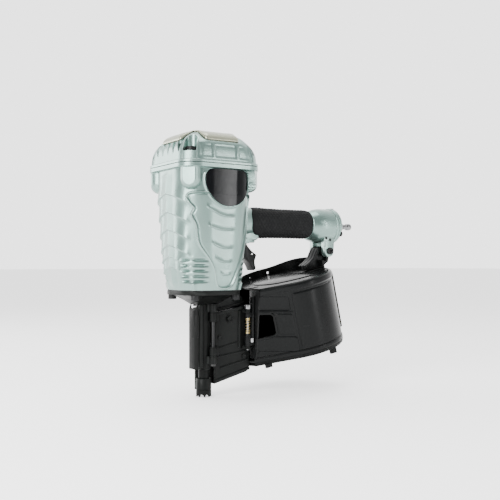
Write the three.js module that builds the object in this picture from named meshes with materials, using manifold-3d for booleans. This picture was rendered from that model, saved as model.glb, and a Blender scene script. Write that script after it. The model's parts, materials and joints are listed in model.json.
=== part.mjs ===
// Pneumatic coil nail gun, as an assembly of separate pieces.
//
// Millimetres, +Z up. While the pieces are made, the driving axis is the Z axis, the tip of the contact
// foot is at Z 0, and the handle runs along +X. At the end the whole tool is moved so that the centre of
// its box's lowest face is the origin.
import * as THREE from "three";
import { mergeVertices } from "three/addons/utils/BufferGeometryUtils.js";
import Module from "manifold-3d";

const wasm = await Module();
wasm.setup();

// ---------------------------------------------------------------- driving dimensions
const GAP = 0.3; // room left between two pieces that touch

const SEAM_Z = 141; // underside of the housing, on the nose's gasket
const JOINT_Z = 300; // between the housing and the cap
const TOP_Z = 345; // top of the cap's corner posts
const FLANGE_HALF = 57; // half the width of the flange where the cap meets the housing
const BORE_R = 38.5; // air chamber inside the housing
const CYLINDER_R = 32; // bore of the cylinder that the piston slides in
const STROKE = 108; // travel of the piston
const PISTON_Z = 268; // underside of the piston at rest
const BUMPER_TOP = PISTON_Z - STROKE - 0.8; // the piston stops just short of it

const CORNERS = [
  [1, 1],
  [-1, 1],
  [-1, -1],
  [1, -1],
];
const CAP_BOLT_AT = 41; // the cap's bolts, in X and in Y from the driving axis
const NOSE_BOLT_AT = 30.4;

const HANDLE_Z = 231;
const GRIP_START = 70;
const GRIP_END = 169;
const BULB_Z = 229.5; // centre of the handle's swollen end
const BULB_END = 212;
const BULB_R = 25;
const TAIL_BOLT_R = 22.4; // the tail bolts, from the handle's middle line
const ARM_AT = { x: 198, z: 193 }; // bolt that hangs the magazine from the handle
const ARM_EAR = { inside: 9, outside: 17, r: 8 };

const VALVE_X = 64; // trigger valve
const TRIGGER_PIVOT = { x: 58, z: 209 };
const LEVER_PIVOT = { x: 72, z: 187.8 };

const NOSE_R = 9.5; // column round the driving channel
const CHANNEL_R = 4.3;
const NOSE_END_Z = 12;
const DOOR_PIN_AT = { x: 6, y: -14.5, r: 2.3 };
const FEED_HALF = 4.5; // half the width of the channel that the nails are fed along
const CONTACT_SPRING_AT = { x: -3.5, y: 14.8 };
const DIAL_AT = { x: 2, y: 22.7, z: 90, r: 7.5 };

const TILT = THREE.MathUtils.degToRad(13); // the magazine leans back by this
const MAGAZINE_AT = { x: 144.5, z: 105 };
const CANISTER_R = 64.5;
const WALL = 2.6;
const LID_TOP = 52.3; // heights along the magazine's own axis, from its middle
const LID_UNDER = 49.7;
const FLOOR_TOP = -43.5;
const FLOOR_UNDER = -46;
const RIM_TOP = 62;
const COVER_BOTTOM = -39;
const NEAR_TANGENT = THREE.MathUtils.degToRad(-124.4); // where the throat's flat walls leave the round
const FAR_TANGENT = THREE.MathUtils.degToRad(129.3);
const CANISTER_FRONT_X = 62; // the front edges stand straight up and down
const COVER_FRONT_X = 68;
const THROAT_HALF = 4.9; // half the width of the gap that the nails leave by
const COVER_PIN_AT = { u: 68, v: -15, r: 2 };
const LUG_AT = { u: 28, v: -11.5 }; // the lid stops here, so that it swings clear of the lug
const PLATFORM_W = -34;

const DOOR_END_X = 66;
const LATCH_AT = { x: 58.5, y: -16.5, r: 1.6 };
const FEEDER_AT = { y: 20.5, z: 68 };

// ---------------------------------------------------------------- materials
function material(color, roughness, metalness) {
  return new THREE.MeshStandardMaterial({ color, roughness, metalness });
}
const SILVER = material(0xb4c9c4, 0.38, 0.55); // painted aluminium castings
const TOP_PLATE = material(0xc9c6b6, 0.35, 0.7);
const STEEL = material(0x9a9da0, 0.3, 1.0);
const DARK_STEEL = material(0x2c2e2f, 0.45, 0.8);
const BLACK_CAST = material(0x232524, 0.5, 0.4);
const BLACK_PLASTIC = material(0x141515, 0.35, 0.0);
const SHIELD_PLASTIC = material(0x1b1d1c, 0.55, 0.0);
const RUBBER = material(0x26292b, 0.85, 0.0);
const SEAL = material(0x0c0c0c, 0.7, 0.0);
const BADGE = material(0x0a0b0e, 0.12, 0.0);
const BRASS = material(0xa88a45, 0.35, 0.9);

// ---------------------------------------------------------------- solids
const vector = (x, y, z) => new THREE.Vector3(x, y, z);
const point = (x, y) => new THREE.Vector2(x, y);

// A closed three.js geometry as a solid, with its faces turned outwards.
function solid(geometry) {
  const bare = geometry.index ? geometry.toNonIndexed() : geometry.clone();
  bare.deleteAttribute("normal");
  bare.deleteAttribute("uv");
  const merged = mergeVertices(bare, 1e-4);
  const place = merged.attributes.position;
  const corners = [vector(0, 0, 0), vector(0, 0, 0), vector(0, 0, 0)];
  const kept = [];
  let volume = 0;
  for (let i = 0; i < merged.index.count; i += 3) {
    const [a, b, c] = merged.index.array.slice(i, i + 3);
    if (a === b || b === c || c === a) continue;
    kept.push(a, b, c);
    [a, b, c].forEach((v, k) => corners[k].fromBufferAttribute(place, v));
    volume += corners[0].dot(corners[1].clone().cross(corners[2]));
  }
  if (volume < 0) kept.reverse();
  return new wasm.Manifold(
    new wasm.Mesh({ numProp: 3, vertProperties: place.array, triVerts: new Uint32Array(kept) }),
  );
}

// A solid back as a three.js geometry.
function geometryOf(made) {
  const mesh = made.getMesh();
  const place = new Float32Array(mesh.numVert * 3);
  for (let i = 0; i < mesh.numVert; i += 1) {
    const start = i * mesh.numProp;
    place.set(mesh.vertProperties.subarray(start, start + 3), i * 3);
  }
  return new THREE.BufferGeometry()
    .setAttribute("position", new THREE.BufferAttribute(place, 3))
    .setIndex(new THREE.BufferAttribute(mesh.triVerts, 1));
}

const union = (first, ...others) => others.reduce((sum, other) => sum.add(other), first);
const cut = (first, ...others) => others.reduce((rest, other) => rest.subtract(other), first);

function box([x0, x1], [y0, y1], [z0, z1]) {
  const geometry = new THREE.BoxGeometry(x1 - x0, y1 - y0, z1 - z0);
  return solid(geometry.translate((x0 + x1) / 2, (y0 + y1) / 2, (z0 + z1) / 2));
}

// The basis that stands a shape drawn in a plane, and pushed along the plane's normal, on an axis.
const STANDS = {
  x: new THREE.Matrix4().makeBasis(vector(0, 1, 0), vector(0, 0, 1), vector(1, 0, 0)),
  y: new THREE.Matrix4().makeBasis(vector(1, 0, 0), vector(0, 0, 1), vector(0, -1, 0)),
  z: new THREE.Matrix4(),
};

// An outline pushed along an axis: [y, z] points along x, [x, z] points along y, [x, y] points along z.
function prism(axis, outline, [from, to], curveSegments = 6) {
  const shape = outline instanceof THREE.Shape ? outline : new THREE.Shape(outline.map((p) => point(...p)));
  const geometry = new THREE.ExtrudeGeometry(shape, { depth: to - from, bevelEnabled: false, curveSegments });
  geometry.applyMatrix4(STANDS[axis]);
  const shift = { x: [from, 0, 0], y: [0, to, 0], z: [0, 0, from] }[axis];
  return solid(geometry.translate(...shift));
}

// A profile of [radius, height] points turned about an axis that goes through the two given places.
function turned(axis, profile, at = [0, 0], sides = 20) {
  const geometry = new THREE.LatheGeometry(profile.map((p) => point(...p)), sides);
  geometry.rotateX(Math.PI / 2); // the lathe's Y axis becomes Z
  const lie = {
    x: new THREE.Matrix4().makeRotationY(Math.PI / 2),
    y: new THREE.Matrix4().makeRotationX(-Math.PI / 2),
    z: new THREE.Matrix4(),
  };
  const shift = { x: [0, at[0], at[1]], y: [at[0], 0, at[1]], z: [at[0], at[1], 0] };
  return solid(geometry.applyMatrix4(lie[axis]).translate(...shift[axis]));
}

function rod(axis, r, [from, to], at = [0, 0], sides = 16) {
  return turned(axis, [[0, from], [r, from], [r, to], [0, to]], at, sides);
}

function tube(axis, inside, outside, [from, to], at = [0, 0], sides = 20) {
  const profile = [[inside, from], [outside, from], [outside, to], [inside, to], [inside, from]];
  return turned(axis, profile, at, sides);
}

function seal(axis, middle, r, height, at = [0, 0], sides = 20) {
  const ring = [];
  for (let i = 0; i <= 6; i += 1) {
    const turn = (i / 6) * 2 * Math.PI;
    ring.push([middle + r * Math.cos(turn), height + r * Math.sin(turn)]);
  }
  return turned(axis, ring, at, sides);
}

// A square with round corners, half wide to each side, anticlockwise from +X.
function roundedSquare(half, r, perCorner = 5) {
  const ring = [];
  CORNERS.forEach(([sx, sy], corner) => {
    for (let i = 0; i < perCorner; i += 1) {
      const turn = ((corner + i / (perCorner - 1)) * Math.PI) / 2;
      ring.push([sx * (half - r) + r * Math.cos(turn), sy * (half - r) + r * Math.sin(turn)]);
    }
  });
  return ring;
}

// Rings of [x, y] points at rising heights, skinned and closed with a fan at each end.
function loft(rings, heights) {
  const count = rings[0].length;
  const place = rings.flatMap((ring, k) => ring.flatMap(([x, y]) => [x, y, heights[k]]));
  const faces = [];
  const at = (k, i) => k * count + (i % count);
  for (let k = 0; k + 1 < rings.length; k += 1) {
    for (let i = 0; i < count; i += 1) {
      faces.push(at(k, i), at(k, i + 1), at(k + 1, i + 1), at(k, i), at(k + 1, i + 1), at(k + 1, i));
    }
  }
  const last = rings.length - 1;
  for (let i = 1; i + 1 < count; i += 1) {
    faces.push(at(0, 0), at(0, i + 1), at(0, i), at(last, 0), at(last, i), at(last, i + 1));
  }
  const geometry = new THREE.BufferGeometry();
  geometry.setAttribute("position", new THREE.Float32BufferAttribute(place, 3));
  return solid(geometry.setIndex(faces));
}

class Helix extends THREE.Curve {
  constructor(r, [from, to], turns) {
    super();
    Object.assign(this, { r, from, to, turns });
  }

  getPoint(t, target = vector(0, 0, 0)) {
    const turn = t * this.turns * 2 * Math.PI;
    return target.set(this.r * Math.cos(turn), this.r * Math.sin(turn), this.from + t * (this.to - this.from));
  }
}

// A flat-ended coil spring along Z.
function spring(r, wire, span, turns, at = [0, 0]) {
  const section = new THREE.Shape().absarc(0, 0, wire, 0, 2 * Math.PI);
  const geometry = new THREE.ExtrudeGeometry(section, {
    steps: turns * 7,
    curveSegments: 2,
    extrudePath: new Helix(r, span, turns),
  });
  return solid(geometry.translate(at[0], at[1], 0));
}

// A steel strip that follows straight runs between points, as wide as its section says.
function strip(points, thick, wide) {
  const pieces = [];
  for (let i = 0; i + 1 < points.length; i += 1) {
    const [a, b] = [vector(...points[i]), vector(...points[i + 1])];
    const run = b.clone().sub(a);
    const geometry = new THREE.BoxGeometry(thick, wide, run.length() + thick);
    const turn = new THREE.Quaternion().setFromUnitVectors(vector(0, 0, 1), run.clone().normalize());
    geometry.applyQuaternion(turn).translate(...a.add(b).divideScalar(2).toArray());
    pieces.push(solid(geometry));
  }
  return union(...pieces);
}

// ---------------------------------------------------------------- groups
const tool = new THREE.Group();
const magazine = new THREE.Group(); // its own frame: u along X, v along Y, w along the coil's axis
magazine.position.set(MAGAZINE_AT.x, 0, MAGAZINE_AT.z);
magazine.rotation.y = -TILT;
tool.add(magazine);

function add(name, made, finish, group = tool) {
  const mesh = new THREE.Mesh(geometryOf(made), finish);
  mesh.name = name;
  group.add(mesh);
}

// ---------------------------------------------------------------- housing and cap
const BODY_HALVES = [
  [SEAM_Z, 43],
  [151, 45.4],
  [175, 48],
  [218, 51.1],
  [262, 53.8],
  [297, 54],
];
const CORNER_SHARE = 0.67; // a corner's radius as a share of the half width

function housingOutside() {
  const rings = BODY_HALVES.map(([, half]) => roundedSquare(half, half * CORNER_SHARE));
  const shell = loft(rings, BODY_HALVES.map(([z]) => z));
  const flange = prism("z", roundedSquare(FLANGE_HALF, 38), [296, JOINT_Z - 0.5]);
  const bullet = [[0, 269], [7, 271], [11, 275.5], [12.5, 282], [12.5, JOINT_Z - 0.5], [0, JOINT_Z - 0.5]];
  const bosses = CORNERS.map(([sx, sy]) => turned("z", bullet, [sx * CAP_BOLT_AT, sy * CAP_BOLT_AT], 14));
  return union(shell, flange, ...bosses);
}

function handleOutside() {
  const neckEnd = GRIP_START - GAP;
  const neck = turned("x", [[0, 35], [23, 35], [22, 58], [20.5, neckEnd], [0, neckEnd]], [0, HANDLE_Z]);
  const core = rod("x", 16.5, [40, GRIP_END + 4], [0, HANDLE_Z]);
  const bulb = turned(
    "x",
    [
      [0, GRIP_END + GAP],
      [19, GRIP_END + GAP],
      [21.5, GRIP_END + 6],
      [24.2, GRIP_END + 14],
      [BULB_R, GRIP_END + 24],
      [BULB_R, BULB_END],
      [0, BULB_END],
    ],
    [0, BULB_Z],
  );
  return union(neck, core, bulb);
}

// One cheek of the clevis that the magazine's lug is bolted into.
function armEar(side) {
  const { x, z } = ARM_AT;
  const { r, inside, outside } = ARM_EAR;
  const shape = new THREE.Shape();
  shape.moveTo(x + r, z);
  shape.lineTo(x + r + 1, BULB_Z - 8);
  shape.lineTo(x - r - 8, BULB_Z - 8);
  shape.lineTo(x - r - 1, BULB_Z - 26);
  shape.lineTo(x - r, z);
  shape.absarc(x, z, r, Math.PI, 2 * Math.PI);
  const span = side > 0 ? [inside, outside] : [-outside, -inside];
  return prism("y", shape, span);
}

function triggerEar(side) {
  const end = GRIP_START - GAP;
  const outline = [[50, 222], [50, 204], [64, 203], [end, 206], [end, 222]];
  return prism("y", outline, side > 0 ? [8, 12] : [-12, -8]);
}

function housing() {
  const ears = [-1, 1].flatMap((side) => [armEar(side), triggerEar(side)]);
  const outside = union(housingOutside(), handleOutside(), ...ears);
  const chamber = rod("z", BORE_R, [150, JOINT_Z + 5], [0, 0], 28);
  const throat = rod("z", 22, [SEAM_Z - 5, 152]);
  const air = rod("x", 12.5, [30, BULB_END + 5], [0, HANDLE_Z]);
  const tail = rod("x", 20, [GRIP_END + 12, BULB_END + 5], [0, BULB_Z]);
  const valve = rod("z", 7.3, [200, HANDLE_Z], [VALVE_X, 0]);
  const lugRoom = box([170, 215], [-ARM_EAR.inside, ARM_EAR.inside], [178, 203.5]);
  const triggerRoom = box([48, 68], [-7.6, 7.6], [195, 216]);
  const boltHoles = CORNERS.flatMap(([sx, sy]) => [
    rod("z", 4.3, [272, JOINT_Z + 5], [sx * CAP_BOLT_AT, sy * CAP_BOLT_AT], 12),
    rod("z", 3.3, [SEAM_Z - 5, 158], [sx * NOSE_BOLT_AT, sy * NOSE_BOLT_AT], 12),
  ]);
  return cut(
    outside,
    chamber,
    throat,
    air,
    tail,
    valve,
    lugRoom,
    triggerRoom,
    ...boltHoles,
    rod("y", 3.3, [-30, 30], [ARM_AT.x, ARM_AT.z], 16),
    rod("y", 2.3, [-30, 30], [TRIGGER_PIVOT.x, TRIGGER_PIVOT.z], 12),
    ...tailBoltPlaces().map((at) => rod("x", 2.8, [BULB_END - 14, BULB_END + 5], at, 10)),
  );
}

function cap() {
  const halves = [
    [JOINT_Z + 0.9, FLANGE_HALF, 38],
    [304, FLANGE_HALF, 38],
    [304.6, 54, 36],
    [324, 53.4, 36],
    [332.5, 50, 33],
  ];
  const shell = loft(halves.map(([, half, r]) => roundedSquare(half, r)), halves.map(([z]) => z));
  const post = [
    [0, JOINT_Z + 0.9], [12.5, JOINT_Z + 0.9], [12.5, 304], [10.5, 306], [10.5, 332], [7, 339], [0, 341],
  ];
  const posts = CORNERS.map(([sx, sy]) => turned("z", post, [sx * CAP_BOLT_AT, sy * CAP_BOLT_AT], 14));
  // A post leans in at its top, where it runs up to a peak beside the top plate.
  const peaks = CORNERS.map(([sx, sy]) =>
    loft(
      [
        [[46, 26], [46, 46], [26, 46], [22, 22]],
        [[42, 33], [42, 42], [33, 42], [31, 31]],
      ].map((ring) => (sx * sy > 0 ? ring : [...ring].reverse()).map(([x, y]) => [sx * x, sy * y])),
      [326, TOP_Z],
    ),
  );
  const pads = CORNERS.map(([sx, sy]) => rod("z", 5, [330, 334.7], [sx * 20, sy * 20], 12));
  const chamber = rod("z", 39.8, [JOINT_Z - 5, 320], [0, 0], 28);
  const port = rod("z", 13, [318, 340]);
  const slots = [-24, -12, 0, 12, 24].map((y) => box([-60, -38], [y - 3, y + 3], [323, 334]));
  const grooves = CORNERS.flatMap(([sx, sy]) => [
    rod("z", 7, [318, TOP_Z + 5], [sx * CAP_BOLT_AT, sy * CAP_BOLT_AT], 12),
    rod("z", 8.2, [318, TOP_Z + 5], [sx * 45, sy * 45], 12),
    rod("z", 4.3, [JOINT_Z - 5, 320], [sx * CAP_BOLT_AT, sy * CAP_BOLT_AT], 12),
  ]);
  return cut(union(shell, ...posts, ...peaks, ...pads), chamber, port, ...slots, ...grooves);
}

function exhaustCover() {
  const rings = [roundedSquare(45, 28), roundedSquare(46.5, 29), roundedSquare(45, 28), roundedSquare(33, 20)];
  const plate = loft(rings, [335, 336.5, 341.5, 344.2]);
  const notches = CORNERS.flatMap(([sx, sy]) => {
    const clear = [[60, 18], [60, 60], [18, 60], [25, 25]];
    const anticlockwise = sx * sy > 0 ? clear : clear.reverse();
    return prism("z", anticlockwise.map(([x, y]) => [sx * x, sy * y]), [330, 350]);
  });
  return cut(plate, ...notches, rod("z", 4.3, [330, 350], [0, 0], 16));
}

// A socket screw whose head stands on the given height, towards +axis, or towards -axis where way is -1.
function screw(axis, at, under, { head, headR, length, r }, way = 1) {
  const tip = under - way * length;
  const top = under + way * head;
  const socket = [under + way * head * 0.4, top + way].sort((a, b) => a - b);
  const profile = [[0, tip], [r, tip], [r, under], [headR, under], [headR, top], [0, top]];
  return cut(turned(axis, profile, at, 10), rod(axis, headR * 0.55, socket, at, 6));
}

function tailBoltPlaces() {
  return [90, 210, 330].map((degrees) => {
    const turn = THREE.MathUtils.degToRad(degrees);
    return [TAIL_BOLT_R * Math.cos(turn), BULB_Z + TAIL_BOLT_R * Math.sin(turn)];
  });
}

add("housing", housing(), SILVER);
add("cap", cap(), SILVER);
add("exhaust_cover", exhaustCover(), TOP_PLATE);
add("exhaust_screw", screw("z", [0, 0], 344.6, { head: 2.6, headR: 7, length: 12, r: 4 }), DARK_STEEL);
add(
  "cap_gasket",
  cut(
    prism("z", roundedSquare(FLANGE_HALF - 1, 37), [JOINT_Z - 0.2, JOINT_Z + 0.6]),
    rod("z", 40, [290, 310], [0, 0], 28),
    ...CORNERS.map(([sx, sy]) => rod("z", 12.8, [290, 310], [sx * CAP_BOLT_AT, sy * CAP_BOLT_AT], 20)),
  ),
  SEAL,
);
CORNERS.forEach(([sx, sy], i) => {
  const at = [sx * CAP_BOLT_AT, sy * CAP_BOLT_AT];
  add(`cap_bolt_${i + 1}`, screw("z", at, 318.3, { head: 8, headR: 6.5, length: 42, r: 4 }), DARK_STEEL);
});

// The badge is a plain plate that lies on the housing's side, under the flange.
function badge() {
  const shape = new THREE.Shape();
  shape.moveTo(-26, 295.6);
  shape.bezierCurveTo(-31, 282, -26, 252, 4, 250);
  shape.bezierCurveTo(33, 252, 36, 280, 32, 295.6);
  const outer = loft([roundedSquare(54.9, 36.8, 9), roundedSquare(55.1, 37, 9)], [245, 297]);
  const inner = loft([roundedSquare(54.1, 36.2, 9), roundedSquare(54.3, 36.4, 9)], [240, 299]);
  return cut(outer.intersect(prism("y", shape, [-70, -20])), inner);
}
add("badge", badge(), BADGE);

// ---------------------------------------------------------------- inside the housing
add(
  "cylinder_sleeve",
  turned("z", [
    [CYLINDER_R, 152.5], [35, 152.5], [35, 280], [38.2, 282], [38.2, 288], [CYLINDER_R, 288],
    [CYLINDER_R, 152.5],
  ], [0, 0], 28),
  STEEL,
);
add(
  "bumper",
  turned("z", [[8, 150.3], [31, 150.3], [31, 155], [24, BUMPER_TOP], [8, BUMPER_TOP], [8, 150.3]]),
  SEAL,
);
add(
  "piston",
  turned("z", [
    [0, PISTON_Z], [14, PISTON_Z], [14, PISTON_Z + 4], [31.6, PISTON_Z + 6], [31.6, PISTON_Z + 8],
    [28.6, PISTON_Z + 8], [28.6, PISTON_Z + 12], [31.6, PISTON_Z + 12], [31.6, PISTON_Z + 15],
    [0, PISTON_Z + 15],
  ]),
  STEEL,
);
add("piston_ring", seal("z", 30.3, 1.3, PISTON_Z + 10), SEAL);
add("driver_blade", rod("z", 3.4, [PISTON_Z - 150, PISTON_Z - GAP], [0, 0], 16), STEEL);
add(
  "head_valve",
  turned("z", [[18, 288.4], [37, 288.4], [37, 296], [24, 296], [24, 306], [18, 306], [18, 288.4]]),
  STEEL,
);
add("head_valve_spring", spring(29, 1.5, [298, 318], 4), STEEL);

// ---------------------------------------------------------------- handle
const gripRing = (wide, tall) =>
  Array.from({ length: 24 }, (_, i) => {
    const turn = (i / 24) * 2 * Math.PI;
    const [c, s] = [Math.cos(turn), Math.sin(turn)];
    const squareness = 0.8; // below 1 the oval is fuller at its corners
    return [wide * Math.sign(c) * Math.abs(c) ** squareness, tall * Math.sign(s) * Math.abs(s) ** squareness];
  });

function grip() {
  const spans = [
    [GRIP_START, 18, 20], [GRIP_START + 3, 19.2, 21], [118, 18, 20], [GRIP_END - 4, 18.6, 20],
    [GRIP_END, 17.4, 19],
  ];
  const upright = loft(spans.map(([, wide, tall]) => gripRing(wide, tall)), spans.map(([x]) => x));
  const laid = geometryOf(upright).applyMatrix4(STANDS.x).translate(0, 0, HANDLE_Z);
  return cut(solid(laid), rod("x", 16.8, [GRIP_START - 5, GRIP_END + 5], [0, HANDLE_Z]));
}
add("grip", grip(), RUBBER);

function tailCap() {
  const disc = turned("x", [
    [0, BULB_END + GAP], [BULB_R + 0.4, BULB_END + GAP], [BULB_R + 0.4, 216], [22, 219], [0, 219],
  ], [0, BULB_Z]);
  const holes = tailBoltPlaces().flatMap((at) => [
    rod("x", 2.8, [BULB_END - 5, 225], at, 10),
    rod("x", 4.3, [215, 225], at, 16),
  ]);
  const plugHole = rod("x", 7, [BULB_END - 5, 225], [0, BULB_Z]);
  const plugSeat = rod("x", 10.2, [218, 225], [0, BULB_Z], 28); // the plug's collar sinks into it
  return cut(disc, plugHole, plugSeat, ...holes);
}
add("tail_cap", tailCap(), SILVER);
tailBoltPlaces().forEach((at, i) => {
  add(`tail_bolt_${i + 1}`, screw("x", at, 215.3, { head: 3.6, headR: 4, length: 12, r: 2.5 }), DARK_STEEL);
});
add(
  "air_plug",
  union(
    turned("x", [
      [3, 210], [6.7, 210], [6.7, 218.3], [9.5, 218.3], [9.5, 219.8], [3, 219.8], [3, 210],
    ], [0, BULB_Z], 16),
    turned("x", [[3, 219.4], [9, 219.4], [9, 227], [3, 227], [3, 219.4]], [0, BULB_Z], 6),
    turned("x", [
      [3, 226.5], [6, 226.5], [6, 236], [4.4, 238], [4.4, 244], [6, 246], [6, 252], [4.8, 254], [3, 254],
      [3, 226.5],
    ], [0, BULB_Z], 20),
  ),
  STEEL,
);
const ARM_BOLT = { head: 5, headR: 5, length: 41, r: 3 };
add("arm_bolt", screw("y", [ARM_AT.x, ARM_AT.z], -ARM_EAR.outside - GAP, ARM_BOLT, -1), DARK_STEEL);
add(
  "arm_nut",
  cut(
    rod("y", 5.6, [ARM_EAR.outside + GAP, ARM_EAR.outside + 5], [ARM_AT.x, ARM_AT.z], 6),
    rod("y", 3.3, [0, 30], [ARM_AT.x, ARM_AT.z], 16),
  ),
  DARK_STEEL,
);

// ---------------------------------------------------------------- trigger
function trigger() {
  const { x, z } = TRIGGER_PIVOT;
  const outline = new THREE.Shape();
  outline.moveTo(x - 5, z);
  outline.lineTo(53, 194);
  outline.quadraticCurveTo(54.5, 184.5, 62, 180.5);
  outline.quadraticCurveTo(69, 176.5, 71.8, 167.5);
  outline.quadraticCurveTo(75, 163.5, 78.2, 169);
  outline.quadraticCurveTo(74.8, 177, 77, 181);
  outline.lineTo(79, 187);
  outline.quadraticCurveTo(69, 192.5, x + 5, 201);
  outline.lineTo(x + 5, z);
  outline.absarc(x, z, 5, 0, Math.PI);
  const channel = [[40, 230], [40, 150], [57, 150], [57, 188], [67, 184.3], [75.2, 184.3], [75.2, 230]];
  return cut(
    prism("y", outline, [-7, 7]),
    prism("y", channel, [-4.2, 4.2]),
    rod("y", 2.3, [-20, 20], [x, z], 12),
    rod("y", 1.4, [-20, 20], [LEVER_PIVOT.x, LEVER_PIVOT.z], 10),
  );
}
add("trigger", trigger(), BLACK_PLASTIC);
add("trigger_pin", rod("y", 2, [-12.6, 12.6], [TRIGGER_PIVOT.x, TRIGGER_PIVOT.z], 14), STEEL);
// The lever inside the trigger: the contact link lifts its front end, and it lifts the valve's plunger.
add(
  "trigger_lever",
  cut(
    prism("y", [[55.5, 199], [73.5, 190], [74, 186.6], [70, 186.6], [55.5, 196.6]], [-3.6, 3.6]),
    rod("y", 1.4, [-20, 20], [LEVER_PIVOT.x, LEVER_PIVOT.z], 10),
  ),
  STEEL,
);
add("lever_pin", rod("y", 1.1, [-7, 7], [LEVER_PIVOT.x, LEVER_PIVOT.z], 10), STEEL);
add(
  "trigger_valve",
  turned("z", [
    [3, 216.2], [7, 216.2], [7, 219], [6.2, 220], [6.2, 228], [3, 228], [3, 216.2],
  ], [VALVE_X, 0], 20),
  BRASS,
);
add("valve_plunger", turned("z", [[0, 205.6], [2.6, 205.6], [2.6, 222], [0, 222]], [VALVE_X, 0], 14), STEEL);

// ---------------------------------------------------------------- nose
function nose() {
  const flange = prism("z", roundedSquare(43, 29), [134.5, SEAM_Z - 1.4]);
  const funnelRings = [roundedSquare(16, 11), roundedSquare(24, 16), roundedSquare(38, 26)];
  const funnel = loft(funnelRings, [121.5, 127, 134.6]);
  const column = turned("z", [
    [0, NOSE_END_Z], [7.3, NOSE_END_Z], [7.3, 35.5], [NOSE_R, 37], [NOSE_R, 124], [0, 124],
  ], [0, 0], 24);
  const spigot = rod("z", 21.5, [SEAM_Z - 2, 149.5]);
  const knuckleWeb = (span) => {
    const knuckle = rod("z", 4.6, span, [DOOR_PIN_AT.x, DOOR_PIN_AT.y], 20);
    return union(knuckle, box([-2, DOOR_PIN_AT.x + 2], [-14, -5], span));
  };
  const feedSlot = box([0, 20], [-CHANNEL_R, CHANNEL_R], [27, 120]);
  return cut(
    union(flange, funnel, column, spigot, knuckleWeb([44, 53.7]), knuckleWeb([112, 122])),
    rod("z", CHANNEL_R, [0, 160]),
    rod("z", 12, [140, 160]),
    feedSlot,
    box([9, 70], [-3, 60], [100, 121]),
    rod("z", 5, [100, 131.6], [CONTACT_SPRING_AT.x, CONTACT_SPRING_AT.y], 14),
    rod("z", DOOR_PIN_AT.r + GAP, [40, 130], [DOOR_PIN_AT.x, DOOR_PIN_AT.y], 16),
    ...CORNERS.map(([sx, sy]) => rod("z", 3.3, [100, 160], [sx * NOSE_BOLT_AT, sy * NOSE_BOLT_AT], 12)),
    ...CORNERS.map(([sx, sy]) => rod("z", 5.9, [100, 134.8], [sx * NOSE_BOLT_AT, sy * NOSE_BOLT_AT], 18)),
  );
}
add("nose", nose(), BLACK_CAST);
add(
  "nose_gasket",
  cut(
    prism("z", roundedSquare(42.6, 28.6), [SEAM_Z - 1.1, SEAM_Z - GAP]),
    rod("z", 21.8, [130, 150]),
    ...CORNERS.map(([sx, sy]) => rod("z", 3.3, [130, 150], [sx * NOSE_BOLT_AT, sy * NOSE_BOLT_AT], 12)),
  ),
  SEAL,
);
CORNERS.forEach(([sx, sy], i) => {
  const at = [sx * NOSE_BOLT_AT, sy * NOSE_BOLT_AT];
  add(`nose_bolt_${i + 1}`, screw("z", at, 134.4, { head: 6.5, headR: 5.5, length: 20, r: 3 }, -1), DARK_STEEL);
});

function noseShield() {
  const shape = new THREE.Shape();
  shape.moveTo(-9.8, -10.4);
  shape.lineTo(-16, -10.4);
  shape.quadraticCurveTo(-20.5, -9, -20.5, 0);
  shape.quadraticCurveTo(-20.5, 9, -16, 10.4);
  shape.lineTo(-9.8, 10.4);
  shape.lineTo(-9.8, 7.9);
  shape.lineTo(-15.6, 7.9);
  shape.quadraticCurveTo(-18, 6.6, -18, 0);
  shape.quadraticCurveTo(-18, -6.6, -15.6, -7.9);
  shape.lineTo(-9.8, -7.9);
  const wall = prism("z", shape, [37, 113]);
  const slope = prism("y", [[-30, 120], [-30, 101], [-8, 119.5], [-8, 120]], [-20, 20]);
  const bars = [45, 75, 100].map((z) => box([-17.5, -9.9], [-8.5, 8.5], [z, z + 2.6]));
  return cut(union(wall, ...bars), slope);
}
add("nose_shield", noseShield(), SHIELD_PLASTIC);

// ---------------------------------------------------------------- contact arm
function contactFoot() {
  const sleeve = tube("z", 7.7, 10.2, [0, 24], [0, 0], 28);
  const ear = box([-6, 6], [9, 14.5], [8, 34]);
  const notches = [20, 65, 110, 155].map((degrees) => {
    const wedge = prism("x", [[-3.2, -1], [3.2, -1], [0, 3.4]], [-15, 15]);
    return wedge.rotate([0, 0, degrees]);
  });
  const bore = rod("z", 7.7, [-2, 26], [0, 0], 28);
  const linkSide = box([-20, 20], [-20, 10.6], [24, 40]);
  return cut(union(sleeve, ear), bore, linkSide, ...notches);
}
add("contact_foot", contactFoot(), DARK_STEEL);

function contactLink() {
  const lower = box([-6, 6], [10.9, 14.4], [34.3, 84]);
  const fork = union(box([-6, 6], [10.9, 14.4], [97, 108]), box([-6, -3], [10.9, 14.4], [83.9, 97.1]));
  const across = box([-6, 56], [10.9, 14.4], [103.5, 108]);
  const rise = strip([[54.2, 12.6, 105.8], [54.2, 12.6, 146], [54.2, 0, 164], [54.2, 0, 192]], 2.6, 6.6);
  return union(lower, fork, across, rise);
}
add("contact_link", contactLink(), DARK_STEEL);
function depthDial() {
  const at = [DIAL_AT.x, DIAL_AT.y];
  const wheel = rod("z", DIAL_AT.r, [DIAL_AT.z - 4, DIAL_AT.z + 4], at, 24);
  return cut(wheel, rod("z", 2, [80, 100], at, 12));
}
add("depth_dial", depthDial(), BLACK_PLASTIC);
add("dial_stud", union(
  rod("z", 1.7, [84.4, 97.6], [DIAL_AT.x, DIAL_AT.y], 12),
  box([DIAL_AT.x - 4, DIAL_AT.x + 4], [14.7, DIAL_AT.y + 2.8], [97.3, 100.3]),
), STEEL);
add("contact_spring", spring(3.6, 0.7, [109, 130.6], 7, [CONTACT_SPRING_AT.x, CONTACT_SPRING_AT.y]), STEEL);

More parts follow.
